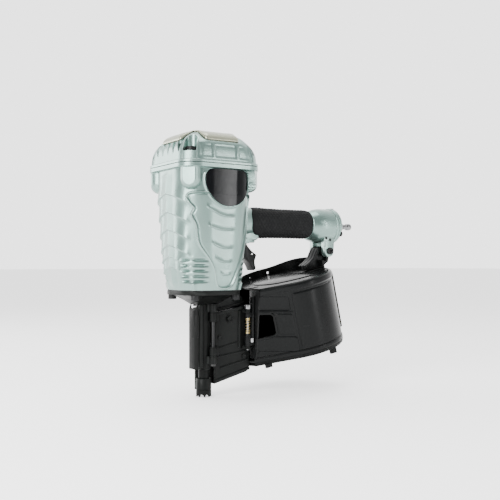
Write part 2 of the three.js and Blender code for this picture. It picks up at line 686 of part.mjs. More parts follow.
// ---------------------------------------------------------------- feed channel
// The channel's edges rise away from the nose, less at the top than at the bottom.
const channelTop = (x) => 109.5 + (x - 10) * 0.19;
const channelBottom = (x) => 19.5 + (x - 10) * 0.25;

function feedGuide() {
  const end = CANISTER_FRONT_X - GAP;
  const start = 10.7;
  const startBottom = channelBottom(10);
  const endBottom = channelBottom(end);
  const plate = prism("y", [
    [start, startBottom - 1], [end, endBottom - 1], [end, channelTop(end)], [start, channelTop(10)],
  ], [FEED_HALF, 8.6]);
  const sill = prism("y", [
    [start, startBottom - 3], [end, endBottom - 3], [end, endBottom], [start, startBottom],
  ], [-10, 8.6]);
  return cut(union(plate, sill), box([20, 50], [0, 20], [64, 72]));
}
add("feed_guide", feedGuide(), BLACK_CAST);

// One of the door's two knuckles for its latch, out from the door's face.
function latchKnuckle(span) {
  const barrel = rod("z", 3.8, span, [LATCH_AT.x, LATCH_AT.y], 18);
  return union(barrel, box([LATCH_AT.x - 3.8, LATCH_AT.x + 3.8], [LATCH_AT.y, -9], span));
}

function door() {
  const edge = 1.8; // room above the sill
  const plate = prism("y", [
    [12, channelBottom(12) + edge], [DOOR_END_X, channelBottom(DOOR_END_X) + edge],
    [DOOR_END_X, channelTop(DOOR_END_X)], [12, channelTop(12)],
  ], [-9.5, -FEED_HALF]);
  const ribs = [40, 52].map((z) => prism("y", [[20, z], [50, z + 7], [50, z + 9], [20, z + 2]], [-11, -9.4]));
  const pad = prism("y", [[18, 78], [44, 80], [46, 104], [18, 102]], [-12, -9.4]);
  const hinge = ([from, to]) => {
    const barrel = rod("z", 4.6, [from, to], [DOOR_PIN_AT.x, DOOR_PIN_AT.y], 20);
    return union(barrel, box([DOOR_PIN_AT.x, 16], [-13.5, -8], [from, to]));
  };
  const hinges = [hinge([54, 66]), hinge([99, 111.7])];
  const knuckles = [latchKnuckle([60, 64.5]), latchKnuckle([109, 113.5])];
  return cut(
    union(plate, ...ribs, pad, ...hinges, ...knuckles),
    rod("z", DOOR_PIN_AT.r + GAP, [40, 130], [DOOR_PIN_AT.x, DOOR_PIN_AT.y], 16),
    rod("z", NOSE_R + 0.8, [0, 140], [0, 0], 28),
    rod("z", LATCH_AT.r + GAP, [50, 130], [LATCH_AT.x, LATCH_AT.y], 12),
  );
}
add("door", door(), BLACK_CAST);
add("door_pin", turned("z", [
  [0, 41], [3.6, 41], [3.6, 43.7], [DOOR_PIN_AT.r, 43.7], [DOOR_PIN_AT.r, 121], [0, 121],
], [DOOR_PIN_AT.x, DOOR_PIN_AT.y], 14), STEEL);

function latch() {
  const { x, y, r } = LATCH_AT;
  const barrel = (span) => union(rod("z", 3.8, span, [x, y], 18), box([x, x + 5], [y - 2.6, y + 2.6], span));
  const plate = box([x + 4.2, x + 7.6], [y - 3.4, y + 3.4], [64.9, 108.6]);
  const thumb = prism("y", [[x + 4.6, 108], [x + 7.6, 108], [x + 8, 131], [x + 5.4, 131]], [y - 5.5, y + 2]);
  const hook = box([x + 5, x + 8.6], [y - 6.5, y], [66, 76]);
  const pinHole = rod("z", r + GAP, [50, 130], [x, y], 12);
  return cut(union(barrel([64.9, 75]), barrel([97, 108.6]), plate, thumb, hook), pinHole);
}
add("latch", latch(), BLACK_PLASTIC);
add("latch_pin", turned("z", [
  [0, 59], [LATCH_AT.r, 59], [LATCH_AT.r, 113.8], [3.4, 113.8], [3.4, 118.5], [0, 118.5],
], [LATCH_AT.x, LATCH_AT.y], 14), STEEL);
add("latch_spring", spring(2.7, 0.6, [76, 96], 6, [LATCH_AT.x, LATCH_AT.y]), BRASS);

// ---------------------------------------------------------------- feeder
// Air pushes the piston back by one nail and the spring pushes it, with its pawl, forwards again.
function feederHousing() {
  const { y, z } = FEEDER_AT;
  const body = rod("x", 10, [43, 58.5], [y, z], 28);
  const base = box([43, 61.5], [8.9, 11.1], [z - 12, z + 12]);
  const web = box([43, 58.5], [11, y], [z - 8, z + 8]);
  const bore = rod("x", 7.6, [45.6, 62], [y, z], 24);
  return cut(union(body, base, web), bore, rod("x", 3.4, [40, 50], [y, z], 14));
}
add("feeder_housing", feederHousing(), BLACK_CAST);
add("feeder_cap", union(
  rod("x", 7.3, [57.2, 59], [FEEDER_AT.y, FEEDER_AT.z], 20),
  rod("x", 9, [58.8, 61.3], [FEEDER_AT.y, FEEDER_AT.z], 6),
), STEEL);

function feedPiston() {
  const { y, z } = FEEDER_AT;
  const head = rod("x", 7.2, [46, 48.5], [y, z], 20);
  const stem = rod("x", 3, [35, 46.5], [y, z], 14);
  const fork = box([28, 35.7], [y - 3.5, y + 3.5], [z - 5, z + 5]);
  const pawlRoom = box([27, 34.2], [0, 40], [z - 2.4, z + 2.4]);
  return cut(union(head, stem, fork), pawlRoom, rod("z", 1.7, [50, 90], [31, y], 12));
}
add("feed_piston", feedPiston(), STEEL);
const feedCoil = geometryOf(spring(5, 0.7, [49.6, 56.2], 3)).applyMatrix4(STANDS.x);
add("feed_spring", solid(feedCoil.translate(0, FEEDER_AT.y, FEEDER_AT.z)), STEEL);

function feedPawl() {
  const { y, z } = FEEDER_AT;
  const arm = prism("z", [
    [29, 23.4], [33, 23.4], [33, 16], [31, 9], [29.6, 5.1], [26.5, 5.1], [27.2, 10], [29, 16],
  ], [z - 2, z + 2]);
  return union(arm, rod("z", 1.4, [z - 5.6, z + 5.6], [31, y], 12));
}
add("feed_pawl", feedPawl(), STEEL);

// ---------------------------------------------------------------- magazine
// A solid of the tool's own frame, moved into the magazine's.
function leaned(made) {
  const geometry = geometryOf(made).translate(-MAGAZINE_AT.x, 0, -MAGAZINE_AT.z);
  return solid(geometry.rotateY(TILT));
}

// The magazine's plan, this much inside its outer wall: a round, with a throat towards the nose.
function plan(inset, span) {
  const r = CANISTER_R - inset;
  const front = -104;
  const along = (turn) => (r - front * Math.cos(turn)) / Math.sin(turn);
  const shape = new THREE.Shape();
  shape.moveTo(front, along(NEAR_TANGENT));
  shape.absarc(0, 0, r, NEAR_TANGENT, FAR_TANGENT);
  shape.lineTo(front, along(FAR_TANGENT));
  return prism("z", shape, span, 16);
}

const wall = (span) => cut(plan(0, span), plan(WALL, [span[0] - 1, span[1] + 1]));
const inFront = (x) => leaned(box([-50, x], [-120, 120], [-60, 260]));

// Room for the door's free edge, on the near side of the throat.
const doorRoom = () => leaned(box([-50, COVER_FRONT_X], [-60, -3.8], [-60, 260]));

// A knuckle of the magazine's hinge: a barrel on the pin, and a web to the wall.
function hingeKnuckle(span, web) {
  const barrel = rod("z", 4.2, span, [COVER_PIN_AT.u, COVER_PIN_AT.v], 18);
  return union(barrel, prism("z", web, span));
}
const pinHole = () => rod("z", COVER_PIN_AT.r + GAP, [-60, 60], [COVER_PIN_AT.u, COVER_PIN_AT.v], 14);

function lug() {
  const turn = new THREE.Vector3(ARM_AT.x - MAGAZINE_AT.x, 0, ARM_AT.z - MAGAZINE_AT.z);
  turn.applyAxisAngle(vector(0, 1, 0), TILT);
  const shape = new THREE.Shape();
  shape.moveTo(31, LID_UNDER + 0.5);
  shape.lineTo(31, LID_TOP + 3);
  shape.lineTo(46, 58);
  shape.lineTo(turn.x - 9, turn.z);
  shape.absarc(turn.x, turn.z, 7.5, Math.PI, 0, true);
  shape.lineTo(CANISTER_R + 2, LID_UNDER + 0.5);
  const outline = prism("y", shape, [-8.4, 8.4]);
  const lightening = prism("y", [[40, 60], [46, 56.5], [56, 62], [58, 70], [40, 70]], [-5, 9]);
  return cut(outline, lightening, rod("y", 3.3, [-20, 20], [turn.x, turn.z], 16));
}

function canister() {
  const floor = plan(0, [FLOOR_UNDER, FLOOR_TOP]);
  const farSide = cut(
    wall([FLOOR_UNDER, RIM_TOP]),
    box([0, 90], [-90, -12.3], [FLOOR_TOP, 90]),
    box([-120, 0], [-90, THROAT_HALF], [FLOOR_TOP, 90]),
  );
  const band = wall([FLOOR_UNDER, COVER_BOTTOM - 0.4]);
  const flange = leaned(box([CANISTER_FRONT_X, CANISTER_FRONT_X + WALL], [THROAT_HALF, 90], [-20, 200]));
  const top = cut(
    plan(0, [LID_UNDER, LID_TOP]),
    box([-120, LUG_AT.u + 0.6], [-90, 90], [0, 90]),
    box([-120, 90], [-90, LUG_AT.v + 0.6], [0, 90]),
  );
  const web = [[67, -17], [71, -13], [64.5, -7.5], [61.2, -8], [61.8, -12], [64, -15]];
  return cut(
    union(
      floor,
      farSide,
      band,
      flange.intersect(plan(0, [FLOOR_UNDER, LID_UNDER])),
      top,
      lug(),
      hingeKnuckle([-38, -27], web),
      hingeKnuckle([31, 42], web),
    ),
    inFront(CANISTER_FRONT_X),
    doorRoom(),
    pinHole(),
  );
}
add("canister", canister(), BLACK_PLASTIC, magazine);

function magazineCover() {
  const side = cut(
    wall([COVER_BOTTOM, LID_TOP]),
    box([0, 90], [-16.5, 90], [-90, 90]),
    box([-120, 0], [-THROAT_HALF, 90], [-90, 90]),
  );
  const lidEdge = cut(plan(0, [LID_UNDER, LID_TOP]), box([-120, 90], [-16.5, 90], [0, 90]));
  const lid = cut(
    union(plan(WALL + 0.6, [LID_UNDER, LID_TOP]), lidEdge),
    box([LUG_AT.u, 90], [LUG_AT.v, 90], [0, 90]),
  );
  const face = leaned(box([COVER_FRONT_X, COVER_FRONT_X + WALL], [-60, -THROAT_HALF], [-20, 200]));
  const opening = leaned(box([COVER_FRONT_X + 4, 90], [-60, -15], [77, 104]));
  const web = [[66, -18.6], [62, -21.5], [59.3, -20.5], [60, -17.2], [64, -14.5], [68, -13]];
  return cut(
    union(
      side,
      lid,
      face.intersect(plan(0, [COVER_BOTTOM, LID_TOP])),
      hingeKnuckle([-26.6, 30.6], web),
    ),
    inFront(COVER_FRONT_X),
    opening,
    pinHole(),
  );
}
add("magazine_cover", magazineCover(), BLACK_PLASTIC, magazine);
add("cover_pin", turned("z", [
  [0, -39], [COVER_PIN_AT.r, -39], [COVER_PIN_AT.r, 42.3], [3.6, 42.3], [3.6, 44], [0, 44],
], [COVER_PIN_AT.u, COVER_PIN_AT.v], 14), STEEL, magazine);

function bottomShield() {
  const pan = cut(plan(1, [-51, FLOOR_UNDER - GAP]), plan(4, [-48.6, -40]));
  const fins = [[-52, -30], [14, -56]].map(([u, v]) => box([u, u + 9], [v, v + 3], [-56, -50]));
  return cut(union(pan, ...fins), inFront(CANISTER_FRONT_X + 1), doorRoom());
}
add("bottom_shield", bottomShield(), SHIELD_PLASTIC, magazine);

add("platform_post", turned("z", [
  [0, -43.2], [9, -43.2], [9, -41], [4, -41], [4, 40], [0, 40],
], [0, 0], 20), STEEL, magazine);
add("nail_platform", turned("z", [
  [4.4, PLATFORM_W], [44, PLATFORM_W], [44, PLATFORM_W + 2.6], [9, PLATFORM_W + 2.6], [9, PLATFORM_W + 14],
  [4.4, PLATFORM_W + 14], [4.4, PLATFORM_W],
], [0, 0], 32), DARK_STEEL, magazine);

// ---------------------------------------------------------------- the whole tool's place
const extent = new THREE.Box3().setFromObject(tool);
const middle = extent.getCenter(vector(0, 0, 0));
tool.position.set(-middle.x, -middle.y, -extent.min.z);

export default tool;
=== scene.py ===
import json
import math

import bmesh
import bpy
import numpy as np
from mathutils import Euler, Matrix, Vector


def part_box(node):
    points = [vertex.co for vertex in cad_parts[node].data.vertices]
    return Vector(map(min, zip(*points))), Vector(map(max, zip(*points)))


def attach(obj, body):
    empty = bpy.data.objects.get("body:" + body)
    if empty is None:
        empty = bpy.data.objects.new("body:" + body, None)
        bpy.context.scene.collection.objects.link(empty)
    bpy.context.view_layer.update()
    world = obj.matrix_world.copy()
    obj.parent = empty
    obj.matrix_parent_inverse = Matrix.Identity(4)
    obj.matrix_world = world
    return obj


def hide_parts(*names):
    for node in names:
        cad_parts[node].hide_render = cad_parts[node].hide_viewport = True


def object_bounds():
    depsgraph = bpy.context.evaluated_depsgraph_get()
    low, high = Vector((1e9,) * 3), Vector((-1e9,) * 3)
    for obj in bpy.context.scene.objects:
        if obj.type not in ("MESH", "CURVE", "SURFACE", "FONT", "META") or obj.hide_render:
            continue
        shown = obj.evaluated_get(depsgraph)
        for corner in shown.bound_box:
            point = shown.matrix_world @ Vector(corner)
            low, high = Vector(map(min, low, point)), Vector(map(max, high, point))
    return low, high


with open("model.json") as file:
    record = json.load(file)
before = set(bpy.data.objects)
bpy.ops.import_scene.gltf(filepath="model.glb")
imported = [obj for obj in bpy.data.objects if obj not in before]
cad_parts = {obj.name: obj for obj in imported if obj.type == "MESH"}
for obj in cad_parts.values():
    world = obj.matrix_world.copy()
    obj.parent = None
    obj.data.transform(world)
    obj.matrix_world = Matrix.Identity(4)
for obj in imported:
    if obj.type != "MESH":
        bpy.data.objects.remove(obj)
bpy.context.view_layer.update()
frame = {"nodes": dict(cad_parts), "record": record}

# Shapes are drawn in the tool's own millimetres: the driving axis is Z, the foot's tip is at Z 0, the handle
# runs along +X and the badge is on the -Y side. row() turns them into the frame's metres.
MM = 0.001
blade_low, blade_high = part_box("driver_blade")
AXIS = ((blade_low.x + blade_high.x) / 2, (blade_low.y + blade_high.y) / 2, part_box("contact_foot")[0].z)

SEAM_Z = 141.0  # where the body ends on the nose's gasket
FLANGE = (58.4, 24.0)  # half width and corner radius where body and cap meet, then the same at the chamfer
FLANGE_RIM = (57.9, 23.6)
BOLT_AT = 41.0  # in X and in Y from the driving axis
NOSE_BOLT_AT = 30.4
HANDLE_Z = 231.0
BULB_Z = 229.5
GRIP_START, GRIP_END = 70.0, 169.0
ARM_X, ARM_Z = 198.0, 193.0
BORE_R = 38.5
CORNERS = [(1, 1), (-1, 1), (-1, -1), (1, -1)]

TILT = math.radians(13)
MAGAZINE_X, MAGAZINE_Z = 144.5, 105.0
CANISTER_R = 64.5
NEAR_TANGENT = math.radians(-124.4)
FAR_TANGENT = math.radians(129.3)
COVER_FRONT_X = 68.0
CANISTER_FRONT_X = 62.0
WALL = 2.6
COVER_PIN_AT = (68, -15)  # in the magazine's own frame
DOOR_PIN_AT = (6, -14.5)
LATCH_AT = (58.5, -16.5)


def row(points):
    return np.asarray(points, float) * MM + AXIS


def smooth(x, low, high):
    """0 below low and 1 above high, with an easy curve between."""
    t = np.clip((x - low) / (high - low), 0, 1)
    return t * t * (3 - 2 * t)


def bump(x, width):
    return np.exp(-((x / width) ** 2))


def soft_max(a, b, k):
    """The larger of two, blended over k where they meet."""
    h = np.clip(0.5 + 0.5 * (a - b) / k, 0, 1)
    return b + (a - b) * h + k * h * (1 - h)


def circle(at, r, angles):
    return [(at[0] + r * math.cos(a), at[1] + r * math.sin(a)) for a in angles]


def rounded_corners(points, steps=2, closed=True):
    """Cuts each corner of a line of points, so that it comes out round."""
    line = np.asarray(points, float)
    for _ in range(steps):
        if closed:
            after = np.roll(line, -1, axis=0)
            cut = np.stack([line * 0.75 + after * 0.25, line * 0.25 + after * 0.75], axis=1)
            line = cut.reshape(-1, line.shape[1])
        else:
            inner = np.stack([line[:-1] * 0.75 + line[1:] * 0.25, line[:-1] * 0.25 + line[1:] * 0.75], axis=1)
            line = np.vstack([line[:1], inner.reshape(-1, line.shape[1]), line[-1:]])
    return line


# ---------------------------------------------------------------- meshes
def new_object(name, vertices, faces, sharp=35.0):
    mesh = bpy.data.meshes.new(name)
    mesh.from_pydata(row(vertices).tolist(), [], [list(f) for f in faces])
    mesh.validate()
    shade(mesh, sharp)
    piece = bpy.data.objects.new(name, mesh)
    bpy.context.scene.collection.objects.link(piece)
    return piece


def shade(mesh, sharp):
    mesh.polygons.foreach_set("use_smooth", [True] * len(mesh.polygons))
    mesh.set_sharp_from_angle(angle=math.radians(sharp))
    mesh.update()


def outwards(piece):
    """Turns a closed mesh's faces outwards."""
    work = bmesh.new()
    work.from_mesh(piece.data)
    bmesh.ops.recalc_face_normals(work, faces=work.faces)
    work.to_mesh(piece.data)
    work.free()
    return piece


def skin(rings, closed):
    """Vertices and faces of closed rings of points; the last ring meets the first, or each end gets a fan."""
    rings = np.asarray(rings, float)
    count, around = rings.shape[:2]
    vertices = rings.reshape(-1, 3)
    k = np.arange(count if closed else count - 1)[:, None]
    i = np.arange(around)[None, :]
    k2 = (k + 1) % count
    i2 = (i + 1) % around
    quads = np.stack([k * around + i, k * around + i2, k2 * around + i2, k2 * around + i], axis=-1)
    faces = quads.reshape(-1, 4).tolist()
    if not closed:
        for ring, flip in ((0, True), (count - 1, False)):
            middle = len(vertices)
            vertices = np.vstack([vertices, rings[ring].mean(axis=0)])
            for a in range(around):
                b = (a + 1) % around
                corner = [ring * around + a, ring * around + b, middle]
                faces.append(corner[::-1] if flip else corner)
    return vertices, faces


def skinned(name, rings, closed=True, sharp=35.0):
    return outwards(new_object(name, *skin(rings, closed), sharp))


def lathe(name, profile, axis="z", at=(0, 0), sides=96, sharp=35.0):
    """A profile of (radius, height) points turned about an axis through the place given."""
    profile = np.asarray(profile, float)
    turn = np.linspace(0, 2 * math.pi, sides, endpoint=False)
    rings = []
    for r, h in profile:
        r = max(r, 0.0)
        a, b = r * np.cos(turn), r * np.sin(turn)
        level = np.full(sides, h)
        if axis == "z":
            rings.append(np.stack([at[0] + a, at[1] + b, level], -1))
        elif axis == "x":
            rings.append(np.stack([level, at[0] + a, at[1] + b], -1))
        else:
            rings.append(np.stack([at[0] + a, level, at[1] + b], -1))
    return skinned(name, rings, False, sharp)


def filleted(profile, r, steps=4):
    """Rounds each inner point of an open profile with radius about r."""
    profile = [np.asarray(p, float) for p in profile]
    out = [profile[0]]
    for before, here, after in zip(profile, profile[1:], profile[2:]):
        to_before, to_after = before - here, after - here
        length = min(np.linalg.norm(to_before), np.linalg.norm(to_after)) * 0.45
        reach = min(r, length)
        a = here + to_before / np.linalg.norm(to_before) * reach
        b = here + to_after / np.linalg.norm(to_after) * reach
        for t in np.linspace(0, 1, steps + 1):
            out.append((1 - t) ** 2 * a + 2 * t * (1 - t) * here + t * t * b)
    out.append(profile[-1])
    return out


def applied(piece):
    """Replaces a piece's mesh by what its modifiers make of it."""
    bpy.context.view_layer.update()
    graph = bpy.context.evaluated_depsgraph_get()
    mesh = bpy.data.meshes.new_from_object(piece.evaluated_get(graph))
    piece.modifiers.clear()
    piece.data = mesh
    return piece


def beveled(piece, width, segments=3, angle=32.0, sharp=50.0):
    edge = piece.modifiers.new("edges", "BEVEL")
    edge.width = width * MM
    edge.segments = segments
    edge.limit_method = "ANGLE"
    edge.angle_limit = math.radians(angle)
    edge.use_clamp_overlap = True
    edge.harden_normals = False
    applied(piece)
    shade(piece.data, sharp)
    return piece


def prism(name, outline, span, axis="y", bevel=0.6, sharp=50.0):
    """An outline pushed along an axis: (x, z) along y, (y, z) along x, (x, y) along z."""
    outline = np.asarray(outline, float)
    low, high = span
    ends = []
    for level in (low, high):
        flat = np.full(len(outline), level)
        a, b = outline[:, 0], outline[:, 1]
        stack = {"y": (a, flat, b), "x": (flat, a, b), "z": (a, b, flat)}[axis]
        ends.append(np.stack(stack, -1))
    count = len(outline)
    faces = [list(range(count)), list(range(2 * count - 1, count - 1, -1))]
    for i in range(count):
        j = (i + 1) % count
        faces.append([i, j, count + j, count + i])
    piece = outwards(new_object(name, np.vstack(ends), faces, sharp))
    return beveled(piece, bevel, sharp=sharp) if bevel else piece


def block(name, xs, ys, zs, bevel=0.6):
    (x0, x1), (y0, y1), (z0, z1) = xs, ys, zs
    return prism(name, [(x0, z0), (x1, z0), (x1, z1), (x0, z1)], (y0, y1), "y", bevel)


def joined(name, pieces):
    """One object of several pieces."""
    work = bmesh.new()
    for piece in pieces:
        work.from_mesh(piece.data)
    mesh = bpy.data.meshes.new(name)
    work.to_mesh(mesh)
    work.free()
    for piece in pieces:
        bpy.data.objects.remove(piece)
    shade(mesh, 40)
    whole = bpy.data.objects.new(name, mesh)
    bpy.context.scene.collection.objects.link(whole)
    return whole


def cut_away(piece, cutters):
    for cutter in cutters:
        trim = piece.modifiers.new("cut", "BOOLEAN")
        trim.operation = "DIFFERENCE"
        trim.solver = "EXACT"
        trim.object = cutter
    applied(piece)
    for cutter in cutters:
        bpy.data.objects.remove(cutter)
    return piece


def sweep(name, path, r, sides=12):
    """A round wire along a path, with flat ends."""
    path = np.asarray(path, float)
    along = np.gradient(path, axis=0)
    along /= np.linalg.norm(along, axis=1)[:, None]
    side = np.cross(along, (0.13, 0.21, 1.0))
    side /= np.linalg.norm(side, axis=1)[:, None]
    other = np.cross(along, side)
    turn = np.linspace(0, 2 * math.pi, sides, endpoint=False)
    across = np.cos(turn)[None, :, None] * side[:, None] + np.sin(turn)[None, :, None] * other[:, None]
    rings = path[:, None] + r * across
    return skinned(name, rings, False, 60)


def coil(name, r, wire, span, turns, at=(0, 0), axis="z"):
    """A compression spring whose end turns lie closed."""
    t = np.linspace(0, 1, int(turns * 40) + 1)
    rise = t - 0.07 * np.sin(2 * math.pi * t) * 1.6
    angle = 2 * math.pi * turns * t
    level = span[0] + wire + (span[1] - span[0] - 2 * wire) * rise
    a, b = r * np.cos(angle), r * np.sin(angle)
    if axis == "z":
        path = np.stack([at[0] + a, at[1] + b, level], -1)
    else:
        path = np.stack([level, at[0] + a, at[1] + b], -1)
    return sweep(name, path, wire, 12)


def socket_screw(name, at, under, head, r, axis="z", way=1):
    """The head of a socket screw, with its six-sided socket."""
    top = under + way * head
    profile = filleted([(0, under), (r, under), (r, top), (r * 0.62, top)], 0.45, 4)
    profile += [(r * 0.55, top - way * 0.3)]
    outer = lathe(name, profile + [(0.0, top - way * 0.3)], axis, at, 48, 40)
    hexagon = circle(at, r * 0.5, np.arange(6) * math.pi / 3)
    span = sorted((under + way * head * 0.35, top + way))
    return cut_away(outer, [prism("socket", hexagon, span, axis, 0)])


# ---------------------------------------------------------------- materials
def nodes_of(name):
    made = bpy.data.materials.new(name)
    made.use_nodes = True
    tree = made.node_tree
    shader = tree.nodes["Principled BSDF"]
    place = tree.nodes.new("ShaderNodeTexCoord").outputs["Object"]
    return made, tree, shader, place


def noise(tree, place, scale, detail=3.0, roughness=0.55):
    node = tree.nodes.new("ShaderNodeTexNoise")
    node.inputs["Scale"].default_value = scale
    node.inputs["Detail"].default_value = detail
    node.inputs["Roughness"].default_value = roughness
    tree.links.new(place, node.inputs["Vector"])
    return node.outputs["Fac"]


def ramp(tree, value, stops):
    node = tree.nodes.new("ShaderNodeValToRGB")
    elements = node.color_ramp.elements
    while len(elements) < len(stops):
        elements.new(0.5)
    for element, (position, color) in zip(elements, stops):
        element.position = position
        element.color = (*color, 1) if len(color) == 3 else color
    tree.links.new(value, node.inputs["Fac"])
    return node.outputs["Color"]


def spread(tree, value, low, high, to_low, to_high):
    node = tree.nodes.new("ShaderNodeMapRange")
    for socket, number in zip(("From Min", "From Max", "To Min", "To Max"), (low, high, to_low, to_high)):
        node.inputs[socket].default_value = number
    tree.links.new(value, node.inputs["Value"])
    return node.outputs["Result"]


def blended(tree, factor, first, second):
    node = tree.nodes.new("ShaderNodeMix")
    node.data_type = "RGBA"
    tree.links.new(factor, node.inputs["Factor"])
    for socket, color in ((6, first), (7, second)):
        if isinstance(color, tuple):
            node.inputs[socket].default_value = (*color, 1)
        else:
            tree.links.new(color, node.inputs[socket])
    return node.outputs[2]


def finish(name, tones, metallic, rough, cloud=25.0, grain=900.0, relief=0.1, depth=0.0002, edge_highlight=None,
           coat=0.0,
           coat_rough=0.1, specular=0.5):
    """A finish whose colour drifts between its tones, with fine grain, and a painted highlight: a paler tone
    on its sharp edges.
    """
    made, tree, shader, place = nodes_of(name)
    drift = noise(tree, place, cloud, 4)
    fine = noise(tree, place, grain, 2)
    color = ramp(tree, drift, [(0.32, tones[0]), (0.68, tones[1])])
    speck = spread(tree, fine, 0.35, 0.65, 0.0, 0.35)
    color = blended(tree, speck, color, tones[2])
    # Painted highlight: sharp edges are painted in a paler tone of the finish, standing in for light caught
    # on them.
    if edge_highlight:
        edge = tree.nodes.new("ShaderNodeNewGeometry").outputs["Pointiness"]
        highlight_share = spread(tree, edge, 0.52, 0.60, 0.0, edge_highlight[1])
        color = blended(tree, highlight_share, color, edge_highlight[0])
    tree.links.new(color, shader.inputs["Base Color"])
    roughness = spread(tree, noise(tree, place, cloud * 3, 5), 0.3, 0.7, *rough)
    tree.links.new(roughness, shader.inputs["Roughness"])
    lift = tree.nodes.new("ShaderNodeBump")
    lift.inputs["Strength"].default_value = relief
    lift.inputs["Distance"].default_value = depth
    tree.links.new(fine, lift.inputs["Height"])
    tree.links.new(lift.outputs["Normal"], shader.inputs["Normal"])
    shader.inputs["Metallic"].default_value = metallic
    shader.inputs["Specular IOR Level"].default_value = specular
    shader.inputs["Coat Weight"].default_value = coat
    shader.inputs["Coat Roughness"].default_value = coat_rough
    return made


# Each finish's edge pair is the painted highlight colour laid on sharp edges, and how much of it shows.
FINISHES = {
    "silver_paint": dict(
        tones=[(0.150, 0.232, 0.208), (0.184, 0.276, 0.249), (0.275, 0.380, 0.350)], metallic=0.84,
        rough=(0.27, 0.36),
        cloud=18, grain=2600, relief=0.12, depth=0.0001, edge_highlight=((0.62, 0.72, 0.69), 0.5), coat=0.3,
        coat_rough=0.12),
    "top_plate": dict(
        tones=[(0.23, 0.24, 0.175), (0.29, 0.30, 0.22), (0.39, 0.395, 0.31)], metallic=0.6,
        rough=(0.26, 0.36),
        cloud=20, grain=1500, depth=0.0001, edge_highlight=((0.8, 0.79, 0.72), 0.4)),
    "steel": dict(
        tones=[(0.15, 0.152, 0.156), (0.21, 0.213, 0.217), (0.30, 0.30, 0.30)], metallic=1.0,
        rough=(0.24, 0.38),
        cloud=60, grain=1200, relief=0.15, depth=0.0001, edge_highlight=((0.8, 0.8, 0.8), 0.5)),
    "dark_steel": dict(
        tones=[(0.0060, 0.0064, 0.0066), (0.0100, 0.0105, 0.0108), (0.020, 0.020, 0.021)], metallic=0.4,
        rough=(0.36, 0.52), cloud=60, grain=1300, relief=0.2, depth=0.0001, edge_highlight=((0.12, 0.12, 0.12), 0.5),
        specular=0.2),
    "black_cast": dict(
        tones=[(0.0022, 0.0025, 0.0023), (0.0040, 0.0045, 0.0042), (0.0080, 0.0087, 0.0083)], metallic=0.0,
        rough=(0.30, 0.44), cloud=30, grain=1100, relief=0.3, edge_highlight=((0.022, 0.024, 0.023), 0.5),
        coat_rough=0.3,
        specular=0.07),
    "black_plastic": dict(
        tones=[(0.0030, 0.0034, 0.0034), (0.0050, 0.0055, 0.0055), (0.0070, 0.0076, 0.0076)], metallic=0.0,
        rough=(0.20, 0.30), cloud=14, grain=500, relief=0.03, depth=0.0001, edge_highlight=((0.02, 0.02, 0.02), 0.3),
        specular=0.10),
    "shield_plastic": dict(
        tones=[(0.0022, 0.0025, 0.0023), (0.0040, 0.0044, 0.0042), (0.0070, 0.0076, 0.0073)], metallic=0.0,
        rough=(0.38, 0.5), cloud=26, grain=1600, relief=0.4, edge_highlight=((0.022, 0.022, 0.022), 0.4),
        specular=0.07),
    "grip_rubber": dict(
        tones=[(0.0032, 0.0034, 0.0036), (0.0056, 0.0059, 0.0062), (0.014, 0.0145, 0.015)], metallic=0.0,
        rough=(0.58, 0.75), cloud=40, grain=2200, relief=0.5, edge_highlight=((0.045, 0.046, 0.048), 0.4),
        specular=0.12),
    "seal_rubber": dict(
        tones=[(0.010, 0.010, 0.010), (0.016, 0.016, 0.016), (0.03, 0.03, 0.03)], metallic=0.0,
        rough=(0.6, 0.8),
        cloud=40, grain=1500, relief=0.3, depth=0.0001),
    "badge": dict(
        tones=[(0.0012, 0.0014, 0.0018), (0.0020, 0.0023, 0.0029), (0.0034, 0.0038, 0.0046)], metallic=0.0,
        rough=(0.10, 0.17), cloud=30, relief=0.03, depth=0.00005, coat_rough=0.03, specular=0.13),
    "brass": dict(
        tones=[(0.42, 0.32, 0.13), (0.55, 0.43, 0.19), (0.62, 0.51, 0.27)], metallic=1.0, rough=(0.25, 0.4),
        cloud=60, grain=1200, relief=0.15, depth=0.0001, edge_highlight=((0.75, 0.65, 0.4), 0.4)),
}
MATERIALS = {name: finish(name, **look) for name, look in FINISHES.items()}
SLOT_OF = {part["node"]: part["material_slot"] for part in frame["record"]["subparts"]}
BODY_OF = {node: body for body, members in frame["record"]["behaviour"]["bodies"].items() for node in members}


def give(piece, slot):
    piece.data.materials.clear()
    piece.data.materials.append(MATERIALS[slot])


def stands_for(piece, *cad_nodes, body=None, slot=None):
    """The piece rides where those CAD nodes ride, and is shown in their place."""
    first = cad_nodes[0]
    give(piece, slot or SLOT_OF[first])
    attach(piece, body or BODY_OF[first])
    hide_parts(*cad_nodes)
    return piece


def rides(piece, body, slot):
    give(piece, slot)
    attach(piece, body)
    return piece


def refined(node, width=0.5, slot=None):
    """A CAD piece again, with its edges rounded as on the real one."""
    mesh = frame["nodes"][node].data.copy()
    piece = bpy.data.objects.new(node + "_fine", mesh)
    bpy.context.scene.collection.objects.link(piece)
    work = bmesh.new()
    work.from_mesh(mesh)
    bmesh.ops.remove_doubles(work, verts=work.verts, dist=1e-6)
    bmesh.ops.dissolve_limit(work, angle_limit=math.radians(1), verts=work.verts, edges=work.edges)
    work.to_mesh(mesh)
    work.free()
    beveled(piece, width, 3, 34.0, 40)
    return stands_for(piece, node, slot=slot)


# ---------------------------------------------------------------- body of the tool
def azimuths(count):
    """Angles from the -Y side towards +X, and the same with the far side folded onto the near side."""
    phi = np.linspace(-180, 180, count, endpoint=False)
    folded = np.where(np.abs(phi) > 90, np.sign(phi) * 180 - phi, phi)
    return phi, folded


